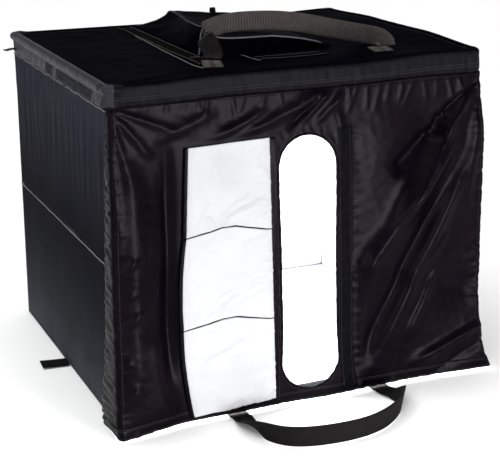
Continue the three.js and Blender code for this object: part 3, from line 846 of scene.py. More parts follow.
def lid_sheet(name, at, step, look, slot, stands_for, thickness):
    """A sheet the size of the lid with the hatch's hole cut out of it."""
    x, y = np.meshgrid(*(
        np.unique(np.concatenate([np.arange(-half, half, step), [half, *hole]]))
        for half, hole in zip((TOP_X, TOP_Y), HATCH_HOLE)
    ))
    hole, area = True, 1.0
    for line, (low, high) in zip((x, y), HATCH_HOLE):
        middle = (line[:-1, :-1] + line[1:, 1:]) / 2
        hole = hole & (middle > low) & (middle < high)
        area *= high - low
    flat = np.stack([x.reshape(-1), y.reshape(-1)], 1)
    points, faces = at(x, y).reshape(-1, 3), grid_faces(*x.shape, ~hole)
    piece = add_piece(name, points, faces, look, "lid", slot, stands_for, flat=flat)
    thicken(piece, thickness)


def ceiling_at(x, y):
    level = cad("lid_ceiling_lining")[0][2] + 0.9 + 0.5 * ripple(x, y, 120, 91) + 0.3 * creases(x, y, 100, 92)
    return np.stack([x, y, level], -1)


lid_sheet("lid_top_cloth", lid_at, 5.0, "lid", "black_nylon", ["lid_top_panel"], 1.0)
lid_sheet("lid_ceiling_cloth", ceiling_at, 12.0, "white", "lining", ["lid_ceiling_lining"], 0.7)

lid_threads = Threads()
x_in, y_in = TOP_X - 3, TOP_Y - 3
lid_threads.row(lid_at, [(-x_in, -y_in), (x_in, -y_in), (x_in, y_in), (-x_in, y_in), (-x_in, -y_in)], 0.6)
for depth in (SECTION_LENGTH - 26, SECTION_LENGTH - 22):
    lid_threads.row(rim_at, [(0, depth), (RIM_LENGTH, depth)], 0.6)
lid_threads.piece("lid_stitching", "lid", "black_nylon", "black thread")

# Loop patches on the left face of the rim, where the side cloth fastens.
# LEFT_MIDDLE is the place round the rim of the middle of that face.
LEFT_MIDDLE = 3 * (HALF_WIDTH - RIM_RADIUS) + 3 * RIM_RADIUS * math.pi / 2 + 3 * (HALF_DEPTH - RIM_RADIUS)
for name, back, front in (("rear", 49, 5), ("front", -22, -248)):
    across = (LEFT_MIDDLE - back, LEFT_MIDDLE - front)
    tape(f"rim_loop_patch_{name}", rim_at, across, (37, 57), 0.3, 0.8, "rim loop", "lid", "loop_tape", ())

# ---------------------------------------------------------------- hatch

HATCH_LOW, HATCH_HIGH = cad("hatch_cover")
tape_low, tape_high = cad("hatch_hook_tape_left")
front_low, front_high = cad("hatch_hook_tape_front")
for end, across, down in (
    ("left", (tape_low[0] - 7, tape_high[0]), (-188, tape_high[1])),
    ("front", (front_low[0], front_high[0]), (front_low[1], front_high[1])),
):
    stands_for = [f"hatch_hook_tape_{end}"]
    tape(f"hatch_hook_strip_{end}", lid_at, across, down, 0.7, 1.6, "hook", "lid", "hook_tape", stands_for)

hatch_threads = Threads()
for x in (tape_low[0] - 4.5, tape_high[0] - 2.5):
    hatch_threads.row(lid_at, [(x, -186), (x, tape_high[1] - 3)], 2.6)
hatch_threads.row(lid_at, [(tape_low[0] + 2, -117), (tape_high[0] - 2, -113)], 2.6, 2.6, 2.2, 0.6)
for y in (front_low[1] + 2.5, front_high[1] - 2.5):
    hatch_threads.row(lid_at, [(front_low[0] + 3, y), (front_high[0] - 3, y)], 2.6)
hatch_threads.piece("hatch_tape_stitching", "lid", "hook_tape")

pipe_low, pipe_high = cad("hatch_border_piping_left")
for end, line, step, out, radius, stands_for, seed in (
    ("left", [(-167, pipe_low[1]), (-148, pipe_high[1])], 8, 1.1, 0.8, ["hatch_border_piping_left"], 8),
    ("front", [(-36, -114), (-33, -196)], 6, 1.4, 0.75, (), 9),
):
    line = evenly(line, step)
    path = lid_at(line[:, 0], line[:, 1], out)
    piping(f"hatch_border_cord_{end}", path, radius, "lid", stands_for, seed=seed)
pivot_low, pivot_high = cad("hatch_hinge_piping")
pivot = (pivot_low + pivot_high) / 2
line = [(pivot[0], y, pivot[2]) for y in (pivot_low[1], pivot_high[1])]
piping("hatch_hinge_cord", line, 1.6, "lid", ["hatch_hinge_piping"], look="lid", wander=0.1)

HATCH_FRONT, HATCH_BACK = HATCH_LOW[1], HATCH_HIGH[1]
FOOT_Z = LID_TOP + 0.4
# The cover's profile, as (across, above its pivot), at its front end and at its back end.
FRONT_PROFILE = [
    (162.5, 0.4), (112, 13), (50, 25), (-20, 28), (-74, 31), (-97, 42), (-108, 49), (-113, 42), (-116, 22),
    (-119, -2.4),
]
BACK_PROFILE = [
    (162.5, 0.4), (130, 10), (96, 16), (56, 19), (10, 21), (-16, 24), (-31, 25.5), (-42, 19), (-70, 7), (-110, -2.6),
]
PROFILE_STEPS = 140
PROFILES = [resample(spline(profile, 14), PROFILE_STEPS) for profile in (FRONT_PROFILE, BACK_PROFILE)]
HATCH_LENGTH = float(np.sum(np.linalg.norm(np.diff((PROFILES[0] + PROFILES[1]) / 2, axis=0), axis=1)))
RIDGE_SHARE = 6 / 9


def hatch_at(u, y, out=0.0):
    """The hatch's cover: u goes up its slope from the hinge, over the ridge and down its wall."""
    place = np.clip(u / HATCH_LENGTH, 0, 1) * (PROFILE_STEPS - 1)
    index = np.arange(PROFILE_STEPS)
    back = smooth((y - HATCH_FRONT) / (HATCH_BACK - HATCH_FRONT))
    ends = []
    for profile in PROFILES:
        slope = np.gradient(profile, axis=0)
        normal = unit(np.stack([slope[:, 1], -slope[:, 0]], 1))
        columns = np.concatenate([profile, normal], 1)
        ends.append([np.interp(place, index, columns[:, k]) for k in range(4)])
    x, z, nx, nz = (near * (1 - back) + far * back for near, far in zip(*ends))
    edge = np.minimum(smooth(u / 20), smooth((HATCH_LENGTH - u) / 14))
    relief = 1.3 * ripple(u, y, 90, 61) + 0.8 * ripple(u, y, 30, 62, (1, 2.5)) + 1.2 * creases(u, y, 110, 63)
    off = relief * edge + out
    return np.stack([x + nx * off, y, np.maximum(pivot[2] + z + nz * off, FOOT_Z)], -1)


hatch = cloth(
    "hatch_cover_cloth", hatch_at, (0, HATCH_LENGTH), (HATCH_FRONT, HATCH_BACK), 4.0, "lid", "hatch", "black_nylon",
    ["hatch_cover"], 1.6,
)
ridge_u = HATCH_LENGTH * RIDGE_SHARE


def make_hatch_wall(name, y, outward, seed, feet):
    """An end of the hatch's cover: cloth from its edge down to the lid, along a line of feet."""
    rows, columns = 14, 100
    us = np.linspace(12, HATCH_LENGTH - 1, columns)
    edge = hatch_at(us, np.full(us.shape, y - outward), -0.6)
    share = np.linspace(0, 1, rows)[:, None]
    foot_y = ramp(edge[:, 0], *feet)
    foot = np.minimum(edge[:, 2], LID_TOP - 1.2 + raised(edge[:, 0], foot_y))
    z = edge[None, :, 2] * (1 - share) + foot[None] * share
    tall = np.clip((edge[None, :, 2] - foot[None]) / 40, 0, 1)
    belly = np.sin(share * math.pi) * tall
    bow = outward * belly * (1.6 * ripple(us[None] + 0 * share, z, 26, seed, (1, 2)) - 2.0)
    drawn = edge[None, :, 1] * (1 - share**2) + foot_y[None] * share**2
    points = np.stack([edge[None, :, 0] + 0 * z, drawn + bow, z], -1).reshape(-1, 3)
    flat = np.stack([np.tile(us, rows), np.repeat(share[:, 0] * 50, columns)], 1)
    wall = add_piece(name, points, grid_faces(rows, columns), "lid", "hatch", "black_nylon", flat=flat)
    thicken(wall, 0.9)


FRONT_FEET = [(-126, -126), (-104, -131), (-82, -131), (-50, -117), (-17, -104), (24, -98), (165, -96)]
make_hatch_wall("hatch_front_wall", HATCH_FRONT, -1, 65, FRONT_FEET)
make_hatch_wall("hatch_back_wall", HATCH_BACK, 1, 66, [(-126, HATCH_BACK), (165, HATCH_BACK)])
for name, line, width, height in (
    ("edge_binding_front", [(12, HATCH_FRONT + 1), (HATCH_LENGTH - 3, HATCH_FRONT + 1)], 3.6, 1.5),
    ("edge_binding_back", [(12, HATCH_BACK - 1), (HATCH_LENGTH - 3, HATCH_BACK - 1)], 3.6, 1.5),
    ("ridge_binding", [(ridge_u, HATCH_FRONT + 2), (ridge_u, HATCH_BACK - 2)], 2.6, 1.2),
    ("ridge_seam", [(ridge_u - 7, HATCH_FRONT + 30), (ridge_u - 13, HATCH_BACK - 2)], 1.8, 1.0),
):
    strip_along(f"hatch_{name}", hatch_at, line, width, height, "piping", "hatch", "seam_piping")
TAB_X, TAB_WIDTH = 72.0, 12.0
tab_u = float(np.interp(-TAB_X, -PROFILES[1][:, 0], np.linspace(0, HATCH_LENGTH, PROFILE_STEPS)))
foot = hatch_at(np.array(tab_u), np.array(HATCH_BACK - 3), 0.5)
loop = [foot + (0, y, z) for y, z in ((-3, 0), (-2, 7), (1, 12), (4, 9), (4.5, 1), (3.5, -2))]
straight_ribbon(
    "hatch_pull_loop", loop, (-TAB_WIDTH / 2, 0, 0), 1.2, "hatch", ["hatch_pull_tab"], TAB_WIDTH, 2.4, 0.12, 8,
    look="dark webbing",
)

# ---------------------------------------------------------------- curtain

# The curtain's own directions.
ACROSS = np.array([1.0, 0, 0])
DOWN = np.array([0, -math.sin(TILT), -math.cos(TILT)])
FRONT = np.array([0, -math.cos(TILT), math.sin(TILT)])
CURTAIN_LENGTH = 594.0
MAIN, TURN_RADIUS, RETURN = 372.0, 7.0, 44.0
TURN = TURN_RADIUS * math.pi / 2
WINDOW = (2.0, 60.0, 78.0, 572.0)
FLAPS_LEFT, FLAPS_RIGHT = -252.0, -76.0

# Ridges and valleys: start, end, height, half width, spread, flank.
FOLDS = [
    ((-374, 6), (-300, 95), 3.2, 5, 2.6, 0.7),
    ((-375, 8), (-340, 150), 3.4, 5, 3.0, 0.8),
    ((-368, 4), (-250, 52), 2.6, 4, 2.2, 0.8),
    ((-374, 20), (-366, 260), 3.0, 6, 1.8, 1.0),
    ((-340, 70), (-338, 570), 9.0, 34, 1.2, 0.8),
    ((-268, 90), (-276, 520), -10.0, 20, 1.3, 0.7),
    ((-300, 420), (-290, 585), 5.0, 18, 1.4, 1.0),
    ((-386, 316), (-336, 268), 3.4, 6, 1.6, 0.5),
    ((-380, 350), (-340, 330), 2.2, 5, 1.4, 0.5),
    ((-386, 409), (-322, 364), 4.4, 7, 1.6, 0.5),
    ((-384, 470), (-350, 455), 2.2, 6, 1.4, 0.6),
    ((-388, 549), (-335, 505), 4.6, 9, 1.5, 0.6),
    ((-200, 80), (-80, 26), 4.5, 9, 1.3, 0.6),
    ((-146, 76), (50, 4), 6.0, 12, 1.2, 0.6),
    ((-300, 66), (-180, 22), 3.0, 10, 1.2, 0.8),
    ((-34, 66), (32, 10), -5.0, 6, 1.2, 0.6),
    ((-8, 58), (48, 4), 5.0, 6, 1.0, 0.5),
    ((22, 60), (78, 8), 3.6, 6, 1.2, 0.7),
    ((-62, 96), (-66, 250), 2.2, 5, 1.4, 1.0),
    ((368, 4), (286, 72), -9.0, 6, 2.2, 0.6),
    ((286, 66), (262, 112), -8.0, 12, 1.2, 0.6),
    ((352, 12), (188, 262), 13.0, 13, 2.0, 0.8),
    ((266, 92), (178, 168), -8.0, 18, 1.2, 0.8),
    ((318, 112), (92, 384), 12.0, 20, 1.5, 0.7),
    ((286, 214), (104, 552), -9.0, 15, 1.5, 0.8),
    ((344, 150), (124, 560), 11.0, 22, 1.3, 0.7),
    ((366, 60), (330, 300), 5.0, 14, 1.6, 0.8),
    ((278, 376), (208, 500), 5.0, 9, 1.4, 0.6),
    ((300, 300), (256, 352), 3.0, 7, 1.3, 0.6),
    ((388, 494), (214, 560), 7.0, 10, 1.8, 0.6),
    ((388, 530), (250, 590), -4.0, 8, 1.6, 0.8),
    ((176, 350), (386, 440), -4.0, 26, 1.3, 1.0),
    ((130, 300), (108, 560), 4.0, 12, 1.4, 0.8),
    ((60, 20), (96, 200), 2.4, 8, 1.4, 0.8),
]


def curtain_half(s, right):
    if right:
        return ramp(s, (0, 380), (107, 389), (247, 388), (350, 386), (497, 384), (563, 394), (594, 408))
    return ramp(s, (0, 377), (150, 381), (288, 386), (450, 390), (573, 396), (594, 394))


def gathers(x, s, first, last, spacing, seed, slant, grow=1.0):
    """Short puckers hanging from the seam at the curtain's top."""
    draw = np.random.default_rng(seed)
    total = np.zeros(np.broadcast(x, s).shape)
    x0 = first
    while x0 < last:
        length = draw.uniform(22, 62) * grow
        height = draw.uniform(1.1, 2.6) * grow
        width = draw.uniform(2.4, 4.4)
        lean = draw.uniform(-1, 0.4) * slant
        total = total + fold(x, s, (x0, -8), (x0 + lean * length, length), height, width, 1.6, 0.35, 0.7)
        x0 += spacing * draw.uniform(0.6, 1.5)
    return total


def curtain_relief(x, s):
    """How far the hanging cloth stands out from its plane."""
    relief = np.zeros(np.broadcast(x, s).shape)
    for start, end, height, width, spread, lap in FOLDS:
        relief = relief + fold(x, s, start, end, 1.4 * height, width, spread, 0.3, lap)
    held = smooth(s / 60)
    relief += held * (3.0 * ripple(x, s, 230, 101) + 0.9 * ripple(x, s, 70, 102, (1, 2.2)))
    relief += smooth(s / 20) * (0.55 * creases(x, s, 95, 103, (1, 1.4)) + 0.15 * ripple(x, s, 17, 104))
    relief += 0.85 * gathers(x, s, 70, 372, 22, 105, 0.9) + 1.1 * gathers(x, s, -360, 50, 30, 106, 0.6, 0.7)
    edge = np.exp(-(MAIN + 6 - np.abs(x)) / 13.0)
    relief += edge * 1.5 * ripple(x, s, 10, 107, (5, 1))
    seam = 96 + 1.5 * np.sin(s / 90)
    near_seam = np.exp(-np.abs(x - seam) / 9.0) * smooth((s - 64) / 12) * smooth((586 - s) / 12)
    relief += near_seam * (-1.6 + 1.1 * ripple(x, s, 13, 108, (4, 1)))
    hem = np.exp(-(CURTAIN_LENGTH - s) / 15.0)
    relief += hem * 1.0 * ripple(x, s, 12, 109, (1, 5))
    core = np.clip(s, WINDOW[2] + WINDOW[1], WINDOW[3] - WINDOW[1])
    from_edge = np.maximum(np.hypot(x - WINDOW[0], s - core) - WINDOW[1], 0)
    near_window = np.exp(-from_edge / 12.0)
    relief = relief * (1 - 0.75 * np.exp(-from_edge / 22.0)) + near_window * 0.7 * ripple(x, s, 11, 110)
    flaps = smooth((x - FLAPS_LEFT + 26) / 24) * smooth((FLAPS_RIGHT + 22 - x) / 22) * smooth((s - 52) / 24)
    relief = relief * (1 - flaps) + np.minimum(relief * 0.3, 0.4) * flaps
    flare_left = 24 * smooth((s - 380) / 220) * smooth((-x - 230) / 160)
    flare_right = 8 * smooth((s - 420) / 180) * smooth((x - 200) / 180)
    top = smooth((s + 8) / 14)
    return relief * top + flare_left + flare_right


def return_depth(s, right):
    """The side edges turn back past the walls' fronts, which lie further behind lower down."""
    gap = SIDE_FRONT - HINGE[1] + math.tan(TILT) * s
    overlap = 7.5 * smooth((s - 20) / 110)
    return gap - 2.5 + overlap + (8 if right else 24) * smooth((s - 380) / 220)


def curtain_at(u, s, out=0.0):
    """u goes across the cloth, from edge to edge round both corners; s goes down it."""
    side, t = np.sign(u), np.abs(u)
    right = u > 0
    s = s + 4.5 * smooth((s - 450) / 144) * smooth((-u - 250) / 130)
    risen = 1.5 + 8.5 * smooth((u - 60) / 330) + 4.5 * smooth((u + 330) / 200) * smooth((372 - u) / 150)
    s = s - risen * (1 - smooth(s / 60))
    half = np.where(right, curtain_half(s, True), curtain_half(s, False))
    angle = np.clip((t - MAIN) / TURN, 0, 1) * math.pi / 2
    depth = np.where(right, return_depth(s, True), return_depth(s, False))
    depth = depth * np.clip((t - MAIN - TURN) / RETURN, 0, 1)
    flat_part = np.minimum(t, MAIN) / MAIN * (half - TURN_RADIUS)
    relief = curtain_relief(side * np.minimum(t, MAIN), s)
    pucker = 1.3 * ripple(t, s, 11, 120, (4, 1)) * smooth((t - MAIN - TURN) / 6)
    x = side * (flat_part + TURN_RADIUS * np.sin(angle) + (out + pucker) * np.sin(angle))
    n = relief * np.cos(angle * 0.5) + out * np.cos(angle) - TURN_RADIUS * (1 - np.cos(angle)) - depth
    place = HINGE + x[..., None] * ACROSS + s[..., None] * DOWN + n[..., None] * FRONT
    place[..., 2] = np.maximum(place[..., 2], 0.8)
    return place


FULL = MAIN + TURN + RETURN
LINING_HALF, LINING_LENGTH = 366, 580
LINING_WINDOW = stadium(WINDOW, 1.5)
curtain = cloth(
    "front_curtain_cloth", curtain_at, (-FULL, FULL), (0.5, CURTAIN_LENGTH), 3.5, "curtain", "curtain",
    "curtain_nylon", ["front_curtain"], 0.9, WINDOW,
)
curtain_lining = cloth(
    "front_curtain_white_lining", curtain_at, (-LINING_HALF, LINING_HALF), (6, 6 + LINING_LENGTH), 4.0,
    "white", "curtain", "lining", ["front_curtain_lining"], 0.5, LINING_WINDOW, -3.0,
)
hem_line = (CURTAIN_LENGTH - 23, CURTAIN_LENGTH - 0.6)
extras = [
    tape(name, curtain_at, across, down, out, thickness, look, "curtain", slot, [stands_for])
    for name, across, down, out, thickness, look, slot, stands_for in (
        ("curtain_hem_band", (-FULL + 2, FULL - 2), hem_line, 0.45, 0.7, "curtain", "curtain_nylon", "curtain_hem"),
        ("window_hinge_strip", (-86, -61.5), (77, 586), 0.5, 1.3, "curtain", "loop_tape", "window_hinge_tape"),
        ("window_catch_strip", (65.5, 91), (72, 584), 0.5, 1.4, "loop", "loop_tape", "window_catch_tape"),
    )
]
extras.append(strip_along(
    "window_edge_binding", curtain_at, outline(stadium(WINDOW, 0.4), 24), 5.0, 1.5, "curtain", "curtain",
    "curtain_nylon",
))
curtain_threads = Threads()
for height in (CURTAIN_LENGTH - 20.5, CURTAIN_LENGTH - 17, CURTAIN_LENGTH - 4):
    curtain_threads.row(curtain_at, [(-FULL + 4, height), (FULL - 4, height)], 1.3)
for sign in (-1, 1):
    for u in (MAIN - 3, MAIN + TURN + 4):
        curtain_threads.row(curtain_at, [(sign * u, 5), (sign * u, CURTAIN_LENGTH - 4)], 0.7)
for x in (95.5, 99.5):
    curtain_threads.row(curtain_at, [(x, 66), (x, 586)], 0.7)
for x in (-84, -64, 67.5, 89):
    curtain_threads.row(curtain_at, [(x, 74), (x, 582)], 1.9)
curtain_threads.row(curtain_at, outline(stadium(WINDOW, 5.0), 24), 0.8)
extras.append(curtain_threads.piece("curtain_stitching", "curtain", "curtain_nylon", "black thread"))
CURTAIN_PARTS = [curtain, curtain_lining, *extras]
# The curtain narrows towards its top, so its cloth is a little less than its bounding size.
line = [(x, HINGE[1], HINGE[2]) for x in (CORD_LOW[0], CORD_HIGH[0])]
piping("curtain_hinge_roll", line, 1.1, "lid", ["curtain_hinge_cord"], look="curtain", wander=0.0)

# ---------------------------------------------------------------- window flaps

FLAP_OUT = 3.4
FLAPS = {"upper": (76.0, 245.6), "middle": (246.4, 417.6), "lower": (418.4, 584.0)}


# Folds of each flap: start, end, height, half width, spread, flank.
FLAP_FOLDS = {
    "upper": [
        ((-78, 158), (-186, 234), -4.6, 13, 1.0, 0.5),
        ((-88, 196), (-176, 236), 3.2, 15, 1.2, 0.8),
        ((-196, 84), (-158, 178), 2.2, 9, 1.6, 0.5),
        ((-238, 236), (-206, 180), 1.8, 9, 1.4, 0.7),
        ((-118, 92), (-92, 150), 1.6, 12, 1.2, 0.8),
        ((-190, 236), (-206, 214), 2.4, 5, 1.2, 0.6),
    ],
    "middle": [
        ((-84, 318), (-150, 352), -2.4, 6, 1.3, 0.6),
        ((-84, 334), (-238, 414), -3.4, 7, 1.3, 0.5),
        ((-86, 356), (-148, 410), -2.6, 8, 1.3, 0.6),
        ((-160, 246), (-246, 322), -3.0, 16, 1.2, 0.6),
        ((-200, 342), (-246, 380), -2.0, 7, 1.2, 0.6),
        ((-90, 262), (-140, 284), -1.6, 6, 1.2, 0.7),
        ((-178, 410), (-146, 376), 2.6, 6, 1.5, 0.6),
    ],
    "lower": [
        ((-92, 424), (-132, 468), -3.4, 10, 1.0, 0.5),
        ((-128, 462), (-222, 498), -2.8, 8, 1.2, 0.6),
        ((-86, 508), (-152, 544), -3.0, 12, 1.2, 0.6),
        ((-84, 538), (-130, 572), -2.6, 7, 1.2, 0.6),
        ((-84, 556), (-118, 582), 2.4, 6, 1.2, 0.6),
        ((-240, 440), (-110, 438), -1.2, 6, 1.0, 0.8),
        ((-190, 582), (-150, 566), 2.0, 5, 1.4, 0.6),
    ],
}
# How far each flap's upper and lower edges sag, and how far its free edge leans at top and bottom.
FLAP_TOPS = {
    "upper": [(-252, 4), (-84, 0)],
    "middle": [(-256, 0), (-200, -8.6), (-176, -14), (-150, -14.2), (-132, -10), (-84, 0)],
}
FLAP_TOPS["lower"] = FLAP_TOPS["middle"]
FLAP_FEET = {
    "upper": [(-256, 0), (-200, -9), (-176, -15), (-150, -15), (-132, -10.5), (-84, 0)],
    "lower": [(-250, 2), (-84, -5)],
}
FLAP_FEET["middle"] = FLAP_FEET["upper"]
FLAP_LEANS = {"upper": (12, 1), "middle": (1, -12), "lower": (-12, 3)}


def flap_relief(x, s, name, span, seed):
    """A flap hangs almost flat, lifts at the middle of its lower edge and puckers at its hinge."""
    inward = (x - FLAPS_LEFT) / (FLAPS_RIGHT - FLAPS_LEFT)
    relief = 1.6 + 0.8 * ripple(x, s, 90, seed) + 0.35 * ripple(x, s, 26, seed + 1, (2, 1))
    for start, end, height, width, spread, lap in FLAP_FOLDS[name]:
        relief = relief + fold(x, s, start, end, height, width, spread, 0.3, lap)
    relief += 0.7 * creases(x, s, 60, seed + 2)
    gap = np.exp(-(span[1] - s) / 7.0)
    relief += gap * (3.4 * np.exp(-(((x + 172) / 16) ** 2)) + 0.5 + 0.5 * ripple(x, s, 24, seed + 3))
    tight = smooth((FLAPS_RIGHT + 1 - x) / 16)
    hinge = np.exp(-(FLAPS_RIGHT - x) / 12.0)
    hem = np.exp(-(span[1] - s) / 8.0) * smooth((x + 200) / 20) * (name == "lower")
    relief = relief * tight + hinge * 1.5 * ripple(x + s * 0.5, s, 9, seed + 4, (3, 1))
    relief += hem * 1.2 * ripple(x, s, 7, seed + 6, (1, 3))
    return np.maximum(relief, 0.0) + 0.4 * smooth(1 - inward)


def make_flap(name, span, seed):
    body = f"flap_{name}"
    top_lean, low_lean = FLAP_LEANS[name]
    hollow = 0 if name == "upper" else 5

    def at(x, s, out=0.0):
        inward = np.clip((FLAPS_RIGHT - x) / (FLAPS_RIGHT - FLAPS_LEFT), 0, 1)
        down = (s - span[0]) / (span[1] - span[0])
        bow = top_lean * (1 - down) + low_lean * down - hollow * np.sin(down * math.pi)
        drop = ramp(x, *FLAP_TOPS[name]) * (1 - down) + ramp(x, *FLAP_FEET[name]) * down
        n = FLAP_OUT + flap_relief(x, s, name, span, seed) + out
        place = x + bow * inward**1.5
        return HINGE + place[..., None] * ACROSS + (s + drop)[..., None] * DOWN + n[..., None] * FRONT

    white_left = FLAPS_LEFT + 6.0
    shell = cloth(
        f"window_flap_{name}_black", at, (FLAPS_LEFT, FLAPS_RIGHT), span, 3.0, "curtain", body, "curtain_nylon",
        [f"window_flap_{name}_shell"], 0.8,
    )
    white = cloth(
        f"window_flap_{name}_white", at, (white_left, FLAPS_RIGHT), (span[0] + 0.6, span[1] - 0.8), 2.5, "flap white",
        body, "lining", [f"window_flap_{name}_lining"], 0.5, out=0.95,
    )
    rows = Threads()
    for x in (white_left + 2.5, white_left + 8.5):
        rows.row(at, [(x, span[0] + 3), (x, span[1] - 3)], 1.35, radius=0.4)
    light = rows.piece(f"window_flap_{name}_stitching", body, "lining", "grey thread")
    line = [(FLAPS_LEFT + 1, span[0] + 1), (FLAPS_LEFT + 1, span[1] - 1)]
    edge = strip_along(f"window_flap_{name}_edge", at, line, 4.0, 1.5, "curtain", body, "curtain_nylon")
    return [shell, white, light, edge]


FLAP_PARTS = []
for number, (name, span) in enumerate(FLAPS.items()):
    FLAP_PARTS += make_flap(name, span, 200 + 10 * number)

# ---------------------------------------------------------------- back wall and floor

back_low, back_high = cad("back_wall")


def back_at(x, z, out=0.0):
    x_at, deep = wrap(x, back_low[0], back_high[0], 2.5)
    relief = 1.2 * ripple(x, z, 190, 71) + 0.9 * creases(x, z, 130, 72) + 0.5 * ripple(x, z, 40, 73, (1, 5))
    relief += np.exp(-(back_high[2] - z) / 30) * 1.2 * ripple(x, z, 14, 74, (1, 5))
    for sign in (-1, 1):
        relief = relief + fold(x, z, (sign * 360, 590), (sign * 200, 330), 3.0, 10, 2.2)
        relief = relief + fold(x, z, (sign * 366, 10), (sign * 250, 190), 2.4, 9, 2.0)
    relief = np.maximum(relief, -0.4)
    edge = smooth((back_high[0] - np.abs(x)) / 26) * smooth((z - back_low[2]) / 20)
    edge = edge * smooth((back_high[2] - z + 4) / 14)
    y = back_high[1] - 0.2 + relief * edge + out * np.exp(-deep) - deep
    return np.stack([x_at, y, z], -1)


back = cloth(
    "back_wall_cloth", back_at, (back_low[0] - 4, back_high[0] + 4), (back_low[2] + 0.5, back_high[2] - 1.2), 4.5,
    "back", "base", "black_nylon", ["back_wall"], 0.9,
)
lining_low, lining_high = cad("back_lining")


def back_lining_at(x, z, out=0.0):
    relief = 0.5 * ripple(x, z, 150, 75) + 0.4 * creases(x, z, 140, 76)
    return np.stack([x, lining_low[1] + 0.7 - relief * 0.8, z], -1)


back_lining = cloth(
    "back_wall_white_lining", back_lining_at, (lining_low[0] + 1, lining_high[0] - 1),
    (lining_low[2] - 2.5, lining_high[2] - 0.5), 10.0, "white", "base", "lining", ["back_lining"], 0.6,
)
back_threads = Threads()
for x in (back_low[0] + 8, back_low[0] + 12, back_high[0] - 12, back_high[0] - 8):
    back_threads.row(back_at, [(x, 10), (x, back_high[2] - 12)], 0.6)
for z in (14, back_high[2] - 14):
    back_threads.row(back_at, [(back_low[0] + 6, z), (back_high[0] - 6, z)], 0.6)
back_stitching = back_threads.piece("back_wall_stitching", "base", "black_nylon", "black thread")

base_low, base_high = cad("base_cover")


def under_at(x, y, out=0.0):
    relief = 0.35 * ripple(x, y, 120, 81) + 0.35 * creases(x, y, 110, 82)
    return np.stack([x, y, 0.75 - np.clip(relief, -0.4, 0.4) * 0.5 - out], -1)


under = cloth(
    "base_underside_cloth", under_at, (base_low[0] + 1, base_high[0] - 1), (base_low[1] + 1, base_high[1] - 1), 9.0,
    "back", "base", "black_nylon", ["base_cover"], 0.8,
)
floor_low, floor_high = cad("floor_lining")


def floor_at(x, y, out=0.0):
    relief = 0.3 * ripple(x, y, 120, 83) + 0.3 * creases(x, y, 130, 84)
    past_edge = np.maximum(np.abs(x) - floor_high[0], np.abs(y) - floor_high[1])
    turned_up = 3.4 * smooth((past_edge + 6) / 6)
    return np.stack([x, y, floor_low[2] + 0.7 + np.clip(relief, -0.5, 0.5) + turned_up + out], -1)


floor_cloth = cloth(
    "floor_white_lining", floor_at, (floor_low[0] - 1, floor_high[0] + 1),
    (floor_low[1] + 1, floor_high[1] + 1.5), 9.0, "white", "base", "lining", ["floor_lining"], 0.7,
)

# The binding round the floor: an oval section carried round its four sides.
BIND_SIDES, BIND_STEP, BIND_INSET = 12, 3.0, 1.6
bind_low, bind_high = cad("base_edge_binding")
(left, near), (right, far) = bind_low[:2] + BIND_INSET, bind_high[:2] - BIND_INSET
ring = evenly([(left, near), (right, near), (right, far), (left, far), (left, near)], BIND_STEP)[:-1]
turn = np.linspace(0, TAU, BIND_SIDES, endpoint=False)
waves = 0.25 * ripple(ring[:, 0] + ring[:, 1], ring[:, 1] * 0.3, 14, 85)[:, None]
on_side = np.abs(ring[:, :1]) / bind_high[0] > np.abs(ring[:, 1:]) / bind_high[1]
outward = np.where(on_side, np.array([[1.0, 0]]), np.array([[0, 1.0]])) * np.sign(ring)
rows = []
for angle in turn:
    height = np.full((len(ring), 1), 4.7 + 3.9 * math.sin(angle))
    rows.append(np.hstack([ring + outward * (1.9 * math.cos(angle) + waves), height]))
band = np.stack(rows)
last = (BIND_SIDES - 1) * len(ring)
closing = [[last + k, last + (k + 1) % len(ring), (k + 1) % len(ring), k] for k in range(len(ring))]
add_piece(
    "base_edge_band", band.reshape(-1, 3), grid_faces(BIND_SIDES, len(ring), around=True) + closing, "side", "base",
    "black_nylon", ["base_edge_binding"],
    flat=np.stack([np.tile(np.arange(len(ring)) * BIND_STEP, BIND_SIDES), np.repeat(turn * 2.5, len(ring))], 1),
)

# ---------------------------------------------------------------- webbing

# Each root of the top handle: its two ends, as (across, depth). It points back and a little right.
TOP_ROOTS = {"left": ((-148, -246), (-119, -160)), "right": ((212, -240), (231, -172))}
for side, (start, end) in TOP_ROOTS.items():
    run = np.array(end, float) - np.array(start, float)
    lead = unit(run)
    aside = np.array([lead[1], -lead[0]])

    def root_at(a, b, out=0.0, start=np.array(start), lead=lead, aside=aside):
        """The root's own coordinates: a along it, b across it."""
        spot = start + a[..., None] * lead + b[..., None] * aside
        return lid_at(spot[..., 0], spot[..., 1], 1.8 + out)

    reach = np.linspace(0, float(np.linalg.norm(run)), 7)
    edges = (root_at(reach, np.full(7, half)) for half in (-WEBBING_WIDTH / 2, WEBBING_WIDTH / 2))
    ribbon(f"top_handle_root_{side}", *edges, 2.2, "lid", [f"top_handle_patch_{side}"], steps=10)
    box = Threads()
    box.row(root_at, [(5, -15), (5, 15), (36, 15), (36, -15), (5, -15), (36, 15)], 1.7)
    box.row(root_at, [(5, 15), (36, -15)], 1.7)
    box.piece(f"top_handle_box_stitch_{side}", "lid", "webbing", "black thread")

